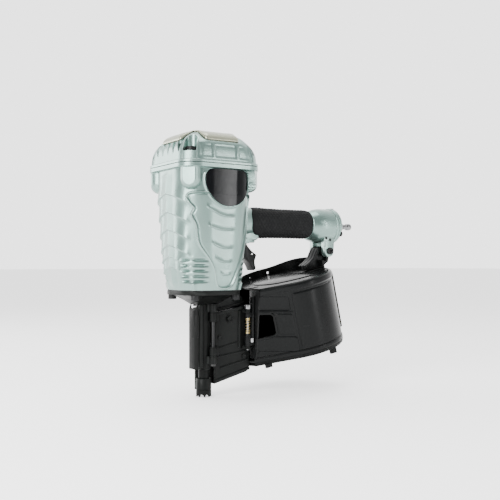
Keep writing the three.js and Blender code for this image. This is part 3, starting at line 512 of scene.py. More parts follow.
def rounded_square(phi, half, corner):
    x, y = np.abs(np.sin(np.radians(phi))), np.abs(np.cos(np.radians(phi)))
    larger, smaller = np.maximum(x, y), np.minimum(x, y)
    flat = half - corner
    r = half / larger
    k = flat * (x + y)
    round_r = k + np.sqrt(np.maximum(0, k * k - (2 * flat * flat - corner * corner)))
    return np.where(r * smaller > flat, round_r, r)


def beside_corner(phi):
    """Degrees from the nearest corner of the body."""
    return (phi + 360) % 90 - 45


def circle_far(phi, away, r):
    """How far out a ray leaves, and enters, the circle of radius r that stands on a corner's diagonal."""
    turn = np.radians(beside_corner(phi))
    under = r * r - (away * np.sin(turn)) ** 2
    root = np.sqrt(np.maximum(under, 0))
    far = np.where(under > 0, away * np.cos(turn) + root, 0)
    near = np.where(under > 0, away * np.cos(turn) - root, 1e3)
    return far, near


def ring_points(phi, r, z):
    turn = np.radians(phi)
    return np.stack([r * np.sin(turn), -r * np.cos(turn), np.broadcast_to(z, r.shape)], -1)


ARC = 0.92  # millimetres round the body for one degree


def distance_to(outline, phi, z):
    """Distance in mm from each place to a closed outline of (degrees, mm), less than 0 inside it."""
    line = np.asarray(outline, float) * (ARC, 1.0)
    x, y = phi * ARC, z
    nearest = np.full(x.shape, 1e9)
    inside = np.zeros(x.shape, bool)
    for (ax, ay), (bx, by) in zip(line, np.roll(line, -1, axis=0)):
        dx, dy = bx - ax, by - ay
        t = np.clip(((x - ax) * dx + (y - ay) * dy) / (dx * dx + dy * dy + 1e-9), 0, 1)
        nearest = np.minimum(nearest, (x - ax - t * dx) ** 2 + (y - ay - t * dy) ** 2)
        crosses = (ay > y) != (by > y)
        inside ^= crosses & (x < (bx - ax) * (y - ay) / (by - ay + 1e-12) + ax)
    return np.sqrt(nearest) * np.where(inside, -1, 1)


# The outlines and heights from here to FIN_GROOVES were traced by hand on the photograph and carried onto the
# body's surface by a scratch program, then partly adjusted. They are in degrees round the body and mm up.
PANEL_EDGE = rounded_corners([
    (-28, 264), (-40, 263.6), (-47, 263), (-51.5, 259), (-49.5, 254), (-45.5, 248.5), (-41.5, 245),
    (-42, 241.5),
    (-45.5, 237), (-44, 232.5), (-40.5, 226.5), (-38.3, 220), (-38, 211), (-36.8, 203), (-34, 196),
    (-28.5, 189),
    (-21.5, 180.5), (-15.5, 171.5), (-12, 162), (-10.5, 153), (-7, 146), (0, 143.2), (9, 142.8), (17, 144.4),
    (22, 149.5), (26, 158), (31, 169), (37, 182), (44, 197), (51, 214), (57, 232), (60, 248), (57, 260),
    (46, 265), (10, 265),
], 1)
BADGE_EDGE = rounded_corners([
    (-20, 294), (-25.5, 290), (-27.8, 282), (-26.5, 271), (-21, 260.5), (-13, 252.5), (-3, 248), (7, 246.8),
    (17, 248), (26, 252.5), (34, 260.5), (39.5, 271), (40.8, 282), (38.5, 290), (33, 294),
], 2)
GILLS = [  # left end, lowest point, then height at each
    (-26, 6, 246.0, 234.3),
    (-24, 4, 222.7, 216.8),
    (-18, 4, 200.8, 194.2),
    (-12, 4, 181.6, 176.4),
    (-2, 5, 162.6, 160.3),
]
FRONT_STEPS = [264.0, 240.5, 218.3, 198.9, 183.8, 171.0]
FIN_GROOVES = [179.3, 172.4, 165.6, 158.9, 152.3]
BODY_HALVES = [(141, 43), (151, 45.2), (175, 47.8), (218, 50.9), (262, 53.6), (297, 54)]


def lip(above, reach):
    """A scale's profile: it swells down to its edge, where above is 0, and drops away below it."""
    swell = np.clip(1 - above / reach, 0, 1) ** 1.5
    return swell * smooth(above, -0.9, 0.5)


def body_relief(phi, folded, z):
    side = distance_to(PANEL_EDGE, folded, z)
    outside = smooth(side, 0.5, 2.0)
    inside = smooth(-side, 1.5, 4.0)
    relief = 1.2 * bump(side - 0.1, 1.0) - 1.7 * smooth(-side, 0.2, 1.5) - 0.5 * bump(side + 2.0, 0.7)
    for start, lowest, z_start, z_low in GILLS:
        away = (lowest - folded) / (lowest - start)
        curve = z_low + (z_start - z_low) * np.where(folded < lowest, np.abs(away) ** 1.8, 0.05 * away * away)
        window = smooth(folded, start - 1, start + 4) * (1 - smooth(folded, 12, 21))
        relief += 1.8 * window * inside * lip(z - curve, 6.0)
    across = np.clip((folded + 90) / 45, 0, 1.3)
    for z_start in FRONT_STEPS:
        curve = z_start - 6 * across - 10 * across * across
        window = 1 - smooth(folded, -54, -45)
        relief += 2.0 * window * outside * lip(z - curve, 19.0)
    for corner, low, high in ((-47, -61, -20), (50, 38, 74)):
        window = smooth(folded, low - 5, low + 4) * (1 - smooth(folded, high - 14, high))
        rib = 1 - 0.8 * bump(folded - corner, 4.2)
        for groove in FIN_GROOVES:
            relief -= 3.0 * window * rib * outside * bump(z - groove, 1.5)
    beside = beside_corner(phi)
    column = bump(beside, 6.0) ** 2
    relief += column * outside * (1.9 * (1 - smooth(z, 148.5, 151)) + 0.5 * (1 - smooth(z, 180, 186)))
    keel = np.maximum(0, 1 - np.abs(folded + 90) / 15)
    relief += 1.7 * keel * (1 - smooth(z, 286, 293)) * smooth(z, 141, 150)
    return relief


def badge_seat(phi, z):
    edge = distance_to(BADGE_EDGE, phi, z)
    rim = 1.1 * bump(edge - 1.5, 1.0) * (1 - smooth(z, 286, 292))
    return rim - 0.5 * smooth(-edge, -0.4, 0.4), smooth(edge, -1, 1)


def body_surface(phi, folded, z):
    """The body's radius at each place, below the flange."""
    half = np.interp(z, *zip(*BODY_HALVES))
    rear = smooth(folded, 0, 80)
    half = half - 1.4 * rear * bump(z - 195, 55)
    return rounded_square(phi, half, half * 0.70)


def barrel():
    phi, folded = azimuths(560)
    heights = np.concatenate([np.linspace(SEAM_Z, 293.8, 286), np.linspace(294.2, 295.4, 6),
                              [296.5, 298.2, 299.5]])
    z = heights[:, None] + 0 * phi[None, :]
    phi_all, folded_all = phi[None, :] + 0 * z, folded[None, :] + 0 * z
    r = body_surface(phi_all, folded_all, z)
    r = r + body_relief(phi_all, folded_all, z)
    seat, beside_badge = badge_seat(phi_all, z)
    near = np.abs(phi_all) < 80
    inner = body_surface(phi_all, folded_all, z)
    blend = np.where(near, beside_badge, 1.0)
    r = inner + (r - inner) * blend + np.where(near, seat, 0)
    bullet_r = np.where(z < 281, 13.3 * np.sqrt(np.clip(1 - ((281 - z) / 14.0) ** 2, 0, 1)), 13.3)
    far, _ = circle_far(phi_all, 60.0, np.maximum(bullet_r, 0.01))
    flat = 70.2 / np.cos(np.radians(beside_corner(phi_all)))
    boss = np.where(z > 267.2, np.minimum(far, flat), 0)
    boss = np.where(near, boss * smooth(distance_to(BADGE_EDGE, phi_all, z), 0.6, 2.2), boss)
    r = np.where(z > 267.2, soft_max(r, boss, 1.6), r)
    flange = rounded_square(phi_all, *FLANGE)
    r = np.where(z > 294.0, r + (flange - r) * smooth(z, 294.0, 295.2), r)
    rows = [ring_points(phi, r[k], heights[k]) for k in range(len(heights))]
    top = rounded_square(phi, *FLANGE_RIM)
    rows.append(ring_points(phi, top, 299.9))
    for radius, level in ((50, 299.9), (BORE_R, 299.9), (BORE_R, 151), (22, 151), (22, SEAM_Z), (30, SEAM_Z)):
        rows.append(ring_points(phi, np.full(len(phi), float(radius)), level))
    return skinned("housing_body", rows, True, 38)


def badge_plate():
    centre = np.array([6.5, 271.0])
    edge = np.asarray(BADGE_EDGE)
    angle = np.arctan2(edge[:, 1] - centre[1], (edge[:, 0] - centre[0]) * ARC)
    order = np.argsort(angle)
    turns = np.linspace(-math.pi, math.pi, 220, endpoint=False)
    x = np.interp(turns, angle[order], edge[order, 0], period=2 * math.pi)
    y = np.interp(turns, angle[order], edge[order, 1], period=2 * math.pi)
    rings = []
    steps = [(1 - (1 - t) ** 2, 1.0) for t in np.linspace(0.02, 0.86, 22)]
    steps += [(0.985, 0.97), (0.992, 0.86), (0.997, 0.6), (0.997, 0.1), (0.985, -0.22), (0.6, -0.22),
              (0.02, -0.22)]
    for share, level in steps:
        phi = centre[0] + (x - centre[0]) * share
        z = centre[1] + (y - centre[1]) * share
        r = body_surface(phi, phi, z) + level
        rings.append(ring_points(phi, r, z))
    return skinned("badge_plate", rings, False, 45)


CAP_ROWS = [  # height, half width, corner radius, and at a corner: lift, and move inwards
    (304.8, 55.9, 24.6, 0.0, 0.0),
    (308.0, 55.6, 24.8, 0.0, 0.0),
    (314.0, 55.0, 25.0, 0.0, 0.0),
    (319.6, 54.1, 25.4, 0.8, 0.6),
    (323.4, 53.0, 25.8, 2.8, 2.2),
    (326.4, 51.6, 26.4, 5.2, 4.8),
    (328.2, 50.4, 27.0, 7.6, 8.0),
    (329.0, 49.4, 27.5, 10.0, 12.2),
    (329.4, 48.8, 28.0, 12.3, 17.0),
]
SLOT_PLACES = [-28, -14, 0, 14, 28]


def smooth_rows(rows, steps):
    """Points along a smooth curve through the rows."""
    rows = np.asarray(rows, float)
    ends = np.vstack([2 * rows[0] - rows[1], rows, 2 * rows[-1] - rows[-2]])
    out = []
    for a, b, c, d in zip(ends, ends[1:], ends[2:], ends[3:]):
        for t in np.arange(steps) / steps:
            square, cube = 2 * a - 5 * b + 4 * c - d, 3 * b - a - 3 * c + d
            out.append(0.5 * (2 * b + (c - a) * t + square * t * t + cube * t ** 3))
    out.append(rows[-1])
    return np.array(out)


def cap_edge(phi):
    """Where the cap's top meets the pale plate: radius and height."""
    height, half, corner, lift, inwards = CAP_ROWS[-1]
    weight = corner_weight(phi)
    return rounded_square(phi, half, corner) - inwards * weight, height + lift * weight


def corner_weight(phi):
    return smooth(21 - np.abs(beside_corner(phi)), 0, 18)


def cap_shell():
    phi, folded = azimuths(720)
    rows = [ring_points(phi, rounded_square(phi, *FLANGE_RIM), 300.5)]
    for level in (300.9, 302.4, 303.4):
        rows.append(ring_points(phi, rounded_square(phi, *FLANGE), level))
    rows.append(ring_points(phi, rounded_square(phi, 58.1, 24.0), 303.9))
    rows.append(ring_points(phi, rounded_square(phi, 57.0, 24.2), 304.3))
    weight = corner_weight(phi)
    beside = beside_corner(phi)
    _, near_bolt = circle_far(phi, BOLT_AT * math.sqrt(2), 7.3)
    _, near_open = circle_far(phi, 62.5, 7.9)
    notch = np.minimum(near_bolt, near_open)
    for height, half, corner, lift, inwards in smooth_rows(CAP_ROWS, 16):
        z = height + lift * weight
        r = rounded_square(phi, half, corner) - inwards * weight
        across = r * np.sin(np.radians(beside))
        post = (1 - smooth(np.abs(across), 8.6, 9.8)) * (1 - smooth(z, 314, 338))
        r = r + 1.7 * post
        x = r * np.sin(np.radians(phi))
        facing_side = np.abs(folded) < 50
        for low, high in ((-36, -18.5), (-14.5, 16.5), (20.5, 36)):
            inset = np.minimum(x - low, high - x)
            deep = smooth(inset, -1.2, 1.6) * smooth(z, 306.5, 309.5) * (1 - smooth(z, 322.0, 326.0))
            r = r - np.where(facing_side, 0.9 * deep, 0)
        y = r * np.cos(np.radians(phi))
        facing_front = (phi < -55) & (phi > -125)
        for place in SLOT_PLACES:
            width = 0.5 + 4.6 * np.clip((z - 314) / 14, 0, 1)
            wedge = 1 - smooth(np.abs(y - place + 0.30 * (z - 328)), width * 0.6, width + 0.3)
            depth = 2.5 + 10.0 * smooth(z, 314, 324)
            r = r - np.where(facing_front, depth * wedge * smooth(z, 313.6, 316), 0)
        hole = np.hypot((phi - 60) * ARC, z - 311.5)
        r = r - 3.0 * (1 - smooth(hole, 1.9, 2.5))
        r = np.where(z > 314.4, np.minimum(r, np.maximum(notch, 0)), r)
        rows.append(ring_points(phi, r, z))
    edge_r, edge_z = cap_edge(phi)
    edge_r = np.minimum(edge_r, notch)
    for inset, drop in ((0.5, 0.1), (0.9, 0.6), (1.0, 3.4), (2.0, 3.6)):
        rows.append(ring_points(phi, edge_r - inset, edge_z - drop))
    for radius, level in ((28, 331), (13, 331), (13, 320), (39.8, 320), (39.8, 300.5), (48, 300.5)):
        rows.append(ring_points(phi, np.full(len(phi), float(radius)), level))
    return skinned("cap_casting", rows, True, 38)


def top_plate():
    """The pale cover on the cap: a low dome whose corners stop short of the cap's peaks."""
    phi, _ = azimuths(480)
    edge_r, edge_z = cap_edge(phi)
    rings = []

    def ring(r, z):
        rings.append(ring_points(phi, r, z))

    ring(edge_r * 0.3, edge_z - 3.0)
    ring(edge_r - 3.4, edge_z - 3.0)
    ring(edge_r - 3.4, edge_z + 0.9)
    ring(edge_r - 0.4, edge_z + 1.0)
    ring(edge_r, edge_z + 1.35)
    crown = 346.2
    for share in (1.0, 0.999, 0.996, 0.99, 0.98, 0.965, *np.linspace(0.94, 0.24, 30)):
        z = edge_z + 1.6 + (crown - edge_z - 1.6) * math.sqrt(max(0.0, 1 - share ** 2.6))
        ring(edge_r * share, z)
    seat = np.full(len(phi), 9.6)
    ring(seat, crown - 0.1)
    ring(seat - 0.5, crown - 0.6)
    ring(seat - 0.6, 344.3)
    ring(seat * 0.2, 344.3)
    return skinned("exhaust_plate", rings, False, 42)


# ---------------------------------------------------------------- handle
def grip_slant(x, s):
    """How far along X the grip's ends lean, most at the front and nothing at the rear."""
    return (np.where(s > 0, 7.5, 13.0) * s * s - 6.0) * (GRIP_END - x) / (GRIP_END - GRIP_START)


def grip_sleeve():
    turn = np.linspace(0, 2 * math.pi, 360, endpoint=False)
    xs = np.linspace(GRIP_START, GRIP_END, 400)
    spans = [(70, 17.4, 19.4), (72, 18.9, 20.7), (76, 19.3, 21.1), (95, 18.6, 20.4), (120, 18.1, 20.0),
             (150, 18.2, 20.1), (164, 18.7, 20.3), (167.5, 18.2, 19.6), (169, 17.4, 18.8)]
    at, wides, talls = zip(*spans)
    c, s = np.cos(turn), np.sin(turn)
    rows = []
    for x in xs:
        wide, tall = np.interp(x, at, wides), np.interp(x, at, talls)
        y = wide * np.sign(c) * np.abs(c) ** 0.8
        z = tall * np.sign(s) * np.abs(s) ** 0.8
        field = smooth(x, 77, 79) * (1 - smooth(x, 162, 164))
        around = np.degrees(turn)
        lean = (around / 9.0) % 1.0
        line = np.floor(around / 9.0)
        shift = (x / 5.2 + 0.5 * (line % 2)) % 1.0
        mound = bump(lean - 0.5, 0.30) * bump(shift - 0.5, 0.30)
        top_band = bump(around - 62, 15) + bump(around - 118, 15)
        dashes = bump(((x / 3.4) % 1.0) - 0.5, 0.22)
        slots = 0
        for across in (around - 62, 118 - around):
            slots = slots + dashes * (1 - smooth(np.abs(across % 11 - 5.5), 2.6, 3.8)) * bump(across, 13)
        relief = 0.6 * mound * (1 - np.clip(top_band, 0, 1))
        relief = relief - 0.9 * slots
        relief = relief * field
        scale = 1 + relief / np.hypot(y, z)
        rows.append(np.stack([x + grip_slant(x, s), y * scale, HANDLE_Z + z * scale], -1))
    for x in (GRIP_END, GRIP_START):
        rows.append(np.stack([x + grip_slant(x, s), 16.8 * c, HANDLE_Z + 16.8 * s], -1))
    return skinned("grip_sleeve", rows, True, 50)


def clevis_cheek(side):
    arc = circle((ARM_X, ARM_Z), 8.4, np.linspace(math.pi, 2 * math.pi, 24))
    outline = arc + [(ARM_X + 9.2, 205), (ARM_X + 9.4, 224), (ARM_X - 8.6, 224)]
    span = (9, 17.2) if side > 0 else (-18.6, -9)
    return prism("cheek", outline, span, "y", 1.3)


def handle_casting():
    neck_line = [(0, 34), (24.5, 34), (23, 50), (21.8, 60), (20.6, 69.6), (19.2, 72), (18.6, 86), (0, 86)]
    neck = lathe("neck", filleted(neck_line, 2.2, 6), "x", (0, HANDLE_Z), 128)
    for vertex in neck.data.vertices:
        vertex.co.y = AXIS[1] + (vertex.co.y - AXIS[1]) * 0.86
    core = lathe("core", [(0, 68), (16.5, 68), (16.5, 172), (0, 172)], "x", (0, HANDLE_Z), 96)
    bulb_line = [(0, 169.4), (19, 169.4), (20.6, 173), (23.2, 180), (24.7, 188), (25, 196), (25, 207),
                 (24.8, 211.9),
                 (0, 211.9)]
    bulb = lathe("bulb", filleted(bulb_line, 2.6, 6), "x", (0, BULB_Z), 160)
    groove = [(0, 207.4), (25.3, 207.4), (25.9, 208.2), (25.9, 211.2), (25.3, 211.9), (0, 211.9)]
    collar = lathe("collar", filleted(groove, 0.5, 4), "x", (0, BULB_Z), 160)
    ears = []
    for side in (-1, 1):
        span = (8, 12.4) if side > 0 else (-12.4, -8)
        outline = rounded_corners([(48, 224), (48.5, 205), (54, 202), (64, 202), (69, 205.5), (69.4, 224)], 2)
        ears.append(prism("ear", outline, span, "y", 1.0))
        ears.append(clevis_cheek(side))
    mount = prism("mount", rounded_corners([(46, 226), (47, 214), (60, 207.5), (72, 205.5), (79, 208),
                                            (80.5, 214),
                                            (76, 226)], 2), (-12.6, 12.6), "y", 2.4)
    valve_seat = lathe("seat", filleted([(0, 203.6), (6.6, 203.6), (7.4, 205), (7.4, 212), (0, 212)], 0.5,
                                        3), "z",
                       (72, 0), 48)
    return joined("housing_handle", [neck, core, bulb, collar, mount, valve_seat, *ears])


def tail_casting():
    line = [(0, 212.3), (25.4, 212.3), (25.4, 215.2), (23.2, 218.4), (21.0, 219), (10.6, 219), (10.2, 218),
            (0, 218)]
    plate = lathe("tail_casting", filleted(line, 0.9, 5), "x", (0, BULB_Z), 160)
    holes = [lathe("hole", [(0, 214.9), (4.6, 214.9), (4.6, 224), (0, 224)], "x", at,
                   40) for at in tail_bolts()]
    return cut_away(plate, holes)


def tail_bolts():
    return circle((0, BULB_Z), 22.4, [math.radians(a) for a in (90, 210, 330)])


def air_plug():
    line = [(0, 218.3), (8.6, 218.3), (8.6, 219.8), (5.6, 219.8), (5.6, 227.2), (4.9, 228), (4.9, 236),
            (3.6, 238),
            (3.6, 243), (4.9, 245), (4.9, 250), (4.1, 252), (2.6, 252), (2.6, 226), (0, 226)]
    stem = lathe("stem", filleted(line, 0.5, 4), "x", (0, BULB_Z), 72)
    hexagon = circle((0, BULB_Z), 8.0, np.arange(6) * math.pi / 3 + 0.3)
    nut = prism("nut", hexagon, (219.9, 226.8), "x", 0.7)
    return joined("air_plug_fine", [stem, nut])


# ---------------------------------------------------------------- magazine
def from_magazine(points):
    """The magazine's own frame: u along X, v along Y, w along the coil's axis, to the tool's."""
    u, v, w = np.moveaxis(np.asarray(points, float), -1, 0)
    x = MAGAZINE_X + u * math.cos(TILT) - w * math.sin(TILT)
    z = MAGAZINE_Z + u * math.sin(TILT) + w * math.cos(TILT)
    return np.stack([x, v, z], -1)


NEAR_END = CANISTER_R * np.array([math.cos(NEAR_TANGENT), math.sin(NEAR_TANGENT)])


def round_to(turn):
    """Distance round the plan from the near flat wall's end to an angle on the round."""
    return CANISTER_R * (turn - NEAR_TANGENT)


def round_level(v):
    """The same, to the place on the round's rear that stands at v."""
    return round_to(math.asin(v / CANISTER_R))


ROUND = round_to(FAR_TANGENT)
HINGE_S = round_level(-16.5)
LID_END_S = round_to(math.radians(62))


def wall_place(s):
    """Place and outward direction at a distance round the magazine's plan; 0 is the near flat wall's end."""
    s = np.asarray(s, float)
    turn = NEAR_TANGENT + (s / CANISTER_R)
    turn = np.clip(turn, NEAR_TANGENT, FAR_TANGENT)
    out = np.stack([np.cos(turn), np.sin(turn)], -1)
    place = CANISTER_R * out
    before = np.minimum(s, 0)[..., None]
    after = np.maximum(s - ROUND, 0)[..., None]
    ahead = np.stack([-out[..., 1], out[..., 0]], -1)
    return place + ahead * (before + after), out


def front_limit(x, w, near=True):
    """Distance round the plan at which the wall reaches the upright front plane."""
    u = (x - MAGAZINE_X + w * math.sin(TILT)) / math.cos(TILT)
    if near:
        return -(NEAR_END[0] - u) / abs(math.sin(NEAR_TANGENT))
    end = CANISTER_R * math.cos(FAR_TANGENT)
    return ROUND + (end - u) / abs(math.sin(FAR_TANGENT))


def shell(name, s_grid, w_grid, outer, inner, gone=None, sharp=40):
    """A closed wall: outer and inner give how far out each face stands; cells marked gone are left open."""
    place, out = wall_place(s_grid)
    layers = []
    for offset in (outer, inner):
        flat = place + out * offset[..., None]
        layers.append(from_magazine(np.concatenate([flat, w_grid[..., None]], -1)))
    rows, columns = s_grid.shape
    kept = np.ones((rows - 1, columns - 1), bool) if gone is None else ~gone
    count = rows * columns
    index = np.arange(count).reshape(rows, columns)
    faces = []
    edges = {}
    for r, c in zip(*np.nonzero(kept)):
        corner = [index[r, c], index[r, c + 1], index[r + 1, c + 1], index[r + 1, c]]
        faces.append(corner)
        faces.append([count + v for v in corner[::-1]])
        for a, b in zip(corner, corner[1:] + corner[:1]):
            if (b, a) in edges:
                del edges[(b, a)]
            else:
                edges[(a, b)] = True
    faces += [[b, a, count + a, count + b] for a, b in edges]
    vertices = np.concatenate([layer.reshape(-1, 3) for layer in layers])
    used = np.unique(np.concatenate([np.asarray(f) for f in faces]))
    new_index = np.full(2 * count, -1)
    new_index[used] = np.arange(len(used))
    faces = [[int(new_index[v]) for v in f] for f in faces]
    return outwards(new_object(name, vertices[used], faces, sharp))


def rounded_box(x, y, x_span, y_span, r):
    """Distance in mm inside (above 0) or outside a rounded box."""
    cx, cy = (x_span[0] + x_span[1]) / 2, (y_span[0] + y_span[1]) / 2
    qx = np.abs(x - cx) - (x_span[1] - x_span[0]) / 2 + r
    qy = np.abs(y - cy) - (y_span[1] - y_span[0]) / 2 + r
    return r - np.hypot(np.maximum(qx, 0), np.maximum(qy, 0)) - np.minimum(np.maximum(qx, qy), 0)


def wall_grid(heights, start, end, columns):
    """Distances round the plan, and heights, for each row and column of a wall."""
    w = heights[:, None] + np.zeros(columns)[None, :]
    start, end = np.reshape(start, (-1, 1)), np.reshape(end, (-1, 1))
    return start + (end - start) * np.linspace(0, 1, columns)[None, :], w


def cover_wall():
    """The hinged cover's side: a flat wall with recesses and a window, and a round wall with a rolled rim."""
    heights = np.concatenate([np.linspace(-39, 43.5, 150), np.linspace(44, 52.3, 22)])
    s, w = wall_grid(heights, front_limit(COVER_FRONT_X + 0.2, heights), HINGE_S, 420)
    slope = w + 0.187 * (s + 20)  # level lines as seen on the wall fall towards the round
    outer = np.zeros(s.shape)
    flat_zone = 1 - smooth(s, 3, 5.5)
    panel = rounded_box(s, slope, (-46, -1.5), (19.5, 38.5), 3.0)
    outer -= 1.3 * smooth(panel, -0.4, 0.7) * flat_zone
    ledge = smooth(slope, 16.0, 16.8) * (1 - smooth(slope, 18.2, 19.0)) * (1 - smooth(s, 0, 1.5))
    outer += 1.2 * ledge
    lower = rounded_box(s, slope, (-60, 1.0), (-37, -16.5), 4.0)
    outer += 1.5 * smooth(lower, -0.4, 0.9)
    side_panel = rounded_box(s, slope, (-22, -1.0), (-13.5, 14.5), 2.0)
    outer += 0.7 * smooth(side_panel, -0.4, 0.6)
    outer -= 1.1 * bump(s - 4.2, 1.0) * smooth(slope, -36, -33) * (1 - smooth(w, 36, 39))
    round_zone = smooth(s, 4.5, 7)
    under_rim = bump(w - (38.5 + 2.5 * smooth(s, 60, 100)), 0.9) * round_zone
    outer -= 1.0 * under_rim
    rim = smooth(w, 41.5, 44.5)
    outer += 1.6 * rim
    crown = np.clip((w - 47.5) / 4.8, 0, 1)
    outer -= 4.2 * (1 - np.sqrt(np.clip(1 - crown ** 2, 0, 1)))
    skew = 0.22 * (s + 27) * smooth(-slope, 0, 6)
    window = rounded_box(s, slope - skew, (-58, -26.5), (-14, 13.8), 4.0)
    outer += 1.1 * smooth(window, -3.2, -2.4)
    inner = np.minimum(-WALL, outer - 1.6)
    middle = 0.25 * (window[:-1, :-1] + window[1:, :-1] + window[:-1, 1:] + window[1:, 1:])
    return shell("cover_wall", s, w, outer, inner, middle > 0)


def plan_outline(inset, near_x, far_x, w, steps=160):
    """Points round the magazine's plan at one height, from the near front to the far front."""
    s = np.linspace(front_limit(near_x, w), front_limit(far_x, w, False), steps)
    place, out = wall_place(s)
    return place - out * inset


def plate_at(name, outline, low, high, bevel=0.6, sharp=45):
    """An outline of (u, v) as a plate between two heights of the magazine's own frame."""
    flat = prism(name, outline, (low, high), "z", 0)
    places = np.array([v.co[:] for v in flat.data.vertices])
    moved = from_magazine((places - AXIS) / MM)
    for vertex, place in zip(flat.data.vertices, row(moved)):
        vertex.co = place
    flat.data.update()
    return beveled(flat, bevel, 3, 40, sharp) if bevel else flat


def cover_lid():
    """The cover's top, with its raised middle."""
    s = np.linspace(front_limit(COVER_FRONT_X + 0.3, 51), HINGE_S, 150)
    place, out = wall_place(s)
    rim = place - out * 1.7
    hinge_side = [(28.0, -14.0), (28.0, 8.0)]
    far_s = np.linspace(front_limit(COVER_FRONT_X + 0.3, 51, False), LID_END_S, 60)
    far_place, far_out = wall_place(far_s)
    far_rim = (far_place - far_out * 3.6)[::-1]
    outline = np.vstack([rim, hinge_side, far_rim])
    lid = plate_at("lid", outline, 49.6, 51.9, 0.5)
    raised = rounded_corners([(-46, -18), (-30, -34), (12, -46), (24, -34), (24, 20), (0, 44), (-30, 34),
                              (-50, 14)], 2)
    step = plate_at("step", raised, 51.5, 53.0, 0.7)
    low_step = rounded_corners([(-66, -8), (-52, -14), (-54, 10), (-66, 6)], 2)
    small = plate_at("small", low_step, 51.5, 52.6, 0.5)
    return [lid, step, small]


def hinge_knuckle(span):
    """A barrel round the cover's pin, as points of the magazine's frame."""
    profile = filleted([(0, span[0]), (4.3, span[0]), (4.3, span[1]), (0, span[1])], 0.5, 3)
    turn = np.linspace(0, 2 * math.pi, 40, endpoint=False)
    rings = []
    for r, h in profile:
        u, v = COVER_PIN_AT[0] + r * np.cos(turn), COVER_PIN_AT[1] + r * np.sin(turn)
        ring = np.stack([u, v, np.full(40, float(h))], -1)
        rings.append(from_magazine(ring))
    return skinned("knuckle", rings, False, 40)


def front_face():
    """The cover's narrow face beside the feed door."""
    top_z = 138.5
    outline = [(-21.5, 46.6), (-6.2, 47.0), (-6.2, top_z), (-29.6, top_z), (-24.0, 58)]
    return prism("front_face", outline, (COVER_FRONT_X + 0.1, COVER_FRONT_X + 2.6), "x", 0.5)


def cover():
    web_low, web_high = -26.6, 30.6
    web = rounded_corners([(66, -18.6), (62, -21.5), (59.3, -20.5), (60, -17.2), (64, -14.5), (68, -13)], 1)
    hinge = [plate_at("web", web, web_low, web_high, 0.4), hinge_knuckle((web_low, web_high))]
    return joined("cover_shell", [cover_wall(), *cover_lid(), *hinge])


def canister_shell():
    """The magazine's fixed side: a far wall with a tall flange, a floor, and a band under the cover."""
    begin = round_level(-12.3)
    heights = np.concatenate([np.linspace(-43, 50, 110), np.linspace(50.6, 62, 24)])
    s, w = wall_grid(heights, begin, front_limit(CANISTER_FRONT_X + 0.2, heights, False), 360)
    flange = 6.0 * smooth(w, 52, 62) * smooth(s, begin + 6, begin + 22)
    w = w + flange * (1 - smooth(s, ROUND - 110, ROUND - 55))
    outer = np.zeros(s.shape)
    for level in (-20, 6, 32):
        rib = 0.9 * bump(w - level, 1.4) * smooth(s, begin + 20, begin + 26)
        outer += rib * (1 - smooth(s, ROUND - 6, ROUND))
    outer += 1.2 * smooth(heights, 57.2, 58.6)[:, None]
    outer -= 0.8 * smooth(heights, 61.2, 62)[:, None] ** 2
    inner = np.minimum(-WALL, outer - 1.6)
    s_mid = 0.5 * (s[:-1, :-1] + s[:-1, 1:])
    w_mid = 0.5 * (w[:-1, :-1] + w[1:, :-1])
    gone = np.zeros(s_mid.shape, bool)
    for along in (18, 49, 84):
        hole = np.hypot(s_mid - (ROUND + 26 - along), w_mid - 55.0)
        gone |= hole < 1.9
    wall = shell("far_wall", s, w, outer, inner, gone)
    low = np.linspace(-46, -39.6, 10)
    band_ends = front_limit(COVER_FRONT_X + 0.5, low), front_limit(CANISTER_FRONT_X + 0.2, low, False)
    band_s, band_w = wall_grid(low, *band_ends, 520)
    thick = 0.8 * smooth(band_w, -46, -45) - 0.8 * smooth(band_w, -41, -39.6)
    band = shell("band", band_s, band_w, thick, np.full(band_w.shape, -2.4))
    floor = plate_at("floor", plan_outline(1.0, COVER_FRONT_X + 0.5, CANISTER_FRONT_X + 0.3, -45), -45.8,
                     -43.6, 0)
    place, out = wall_place(np.linspace(round_level(-10.9), LID_END_S, 60))
    corner = math.sqrt((CANISTER_R - 2) ** 2 - 28.6 ** 2)
    top_outline = np.vstack([place - out * 1.0, [(28.8, corner * 0.98), (28.8, -10.9)]])
    top = plate_at("top", top_outline, 49.7, 52.2, 0.4)
    knuckles = [hinge_knuckle((-38, -27)), hinge_knuckle((31, 42))]
    web = rounded_corners([(67, -17), (71, -13), (64.5, -7.5), (61.2, -8), (61.8, -12), (64, -15)], 1)
    webs = [plate_at("web", web, -38, -27, 0.3), plate_at("web", web, 31, 42, 0.3)]
    return joined("canister_shell", [wall, band, floor, top, lug(), *knuckles, *webs])


def lug():
    """The upright arm that the clevis holds, ribbed on its sides."""
    head = circle((ARM_X, ARM_Z), 7.6, np.linspace(0, 0.62 * math.pi, 14))
    outline = head + [(185, 198), (180.5, 190), (177.5, 183.5), (170, 177), (162, 172), (165, 165),
                      (194, 171),
                      (204, 178), (205.6, 186)]
    pieces = [prism("web", outline, (-3.6, 3.6), "y", 0.7)]
    rear = [(204, 178), (205.6, 186), (205.6, 193), (202.6, 193), (201.6, 186), (200, 180), (193, 173.6),
            (194, 171)]
    front = [(191, 200.4), (185, 198), (180.5, 190), (177.5, 183.5), (170, 177), (162, 172), (163, 169.4),
             (172, 173.8),
             (182, 180.6), (186, 188.6), (192.5, 196)]
    for side in (-1, 1):
        span = (3.4, 8.4) if side > 0 else (-8.4, -3.4)
        ring = circle((ARM_X, ARM_Z), 7.6, np.linspace(0, 2 * math.pi, 36, False))
        for points, bevel in ((ring, 0.9), (rear, 0.6), (front, 0.6)):
            pieces.append(prism("rib", points, span, "y", bevel))
    return joined("lug", pieces)


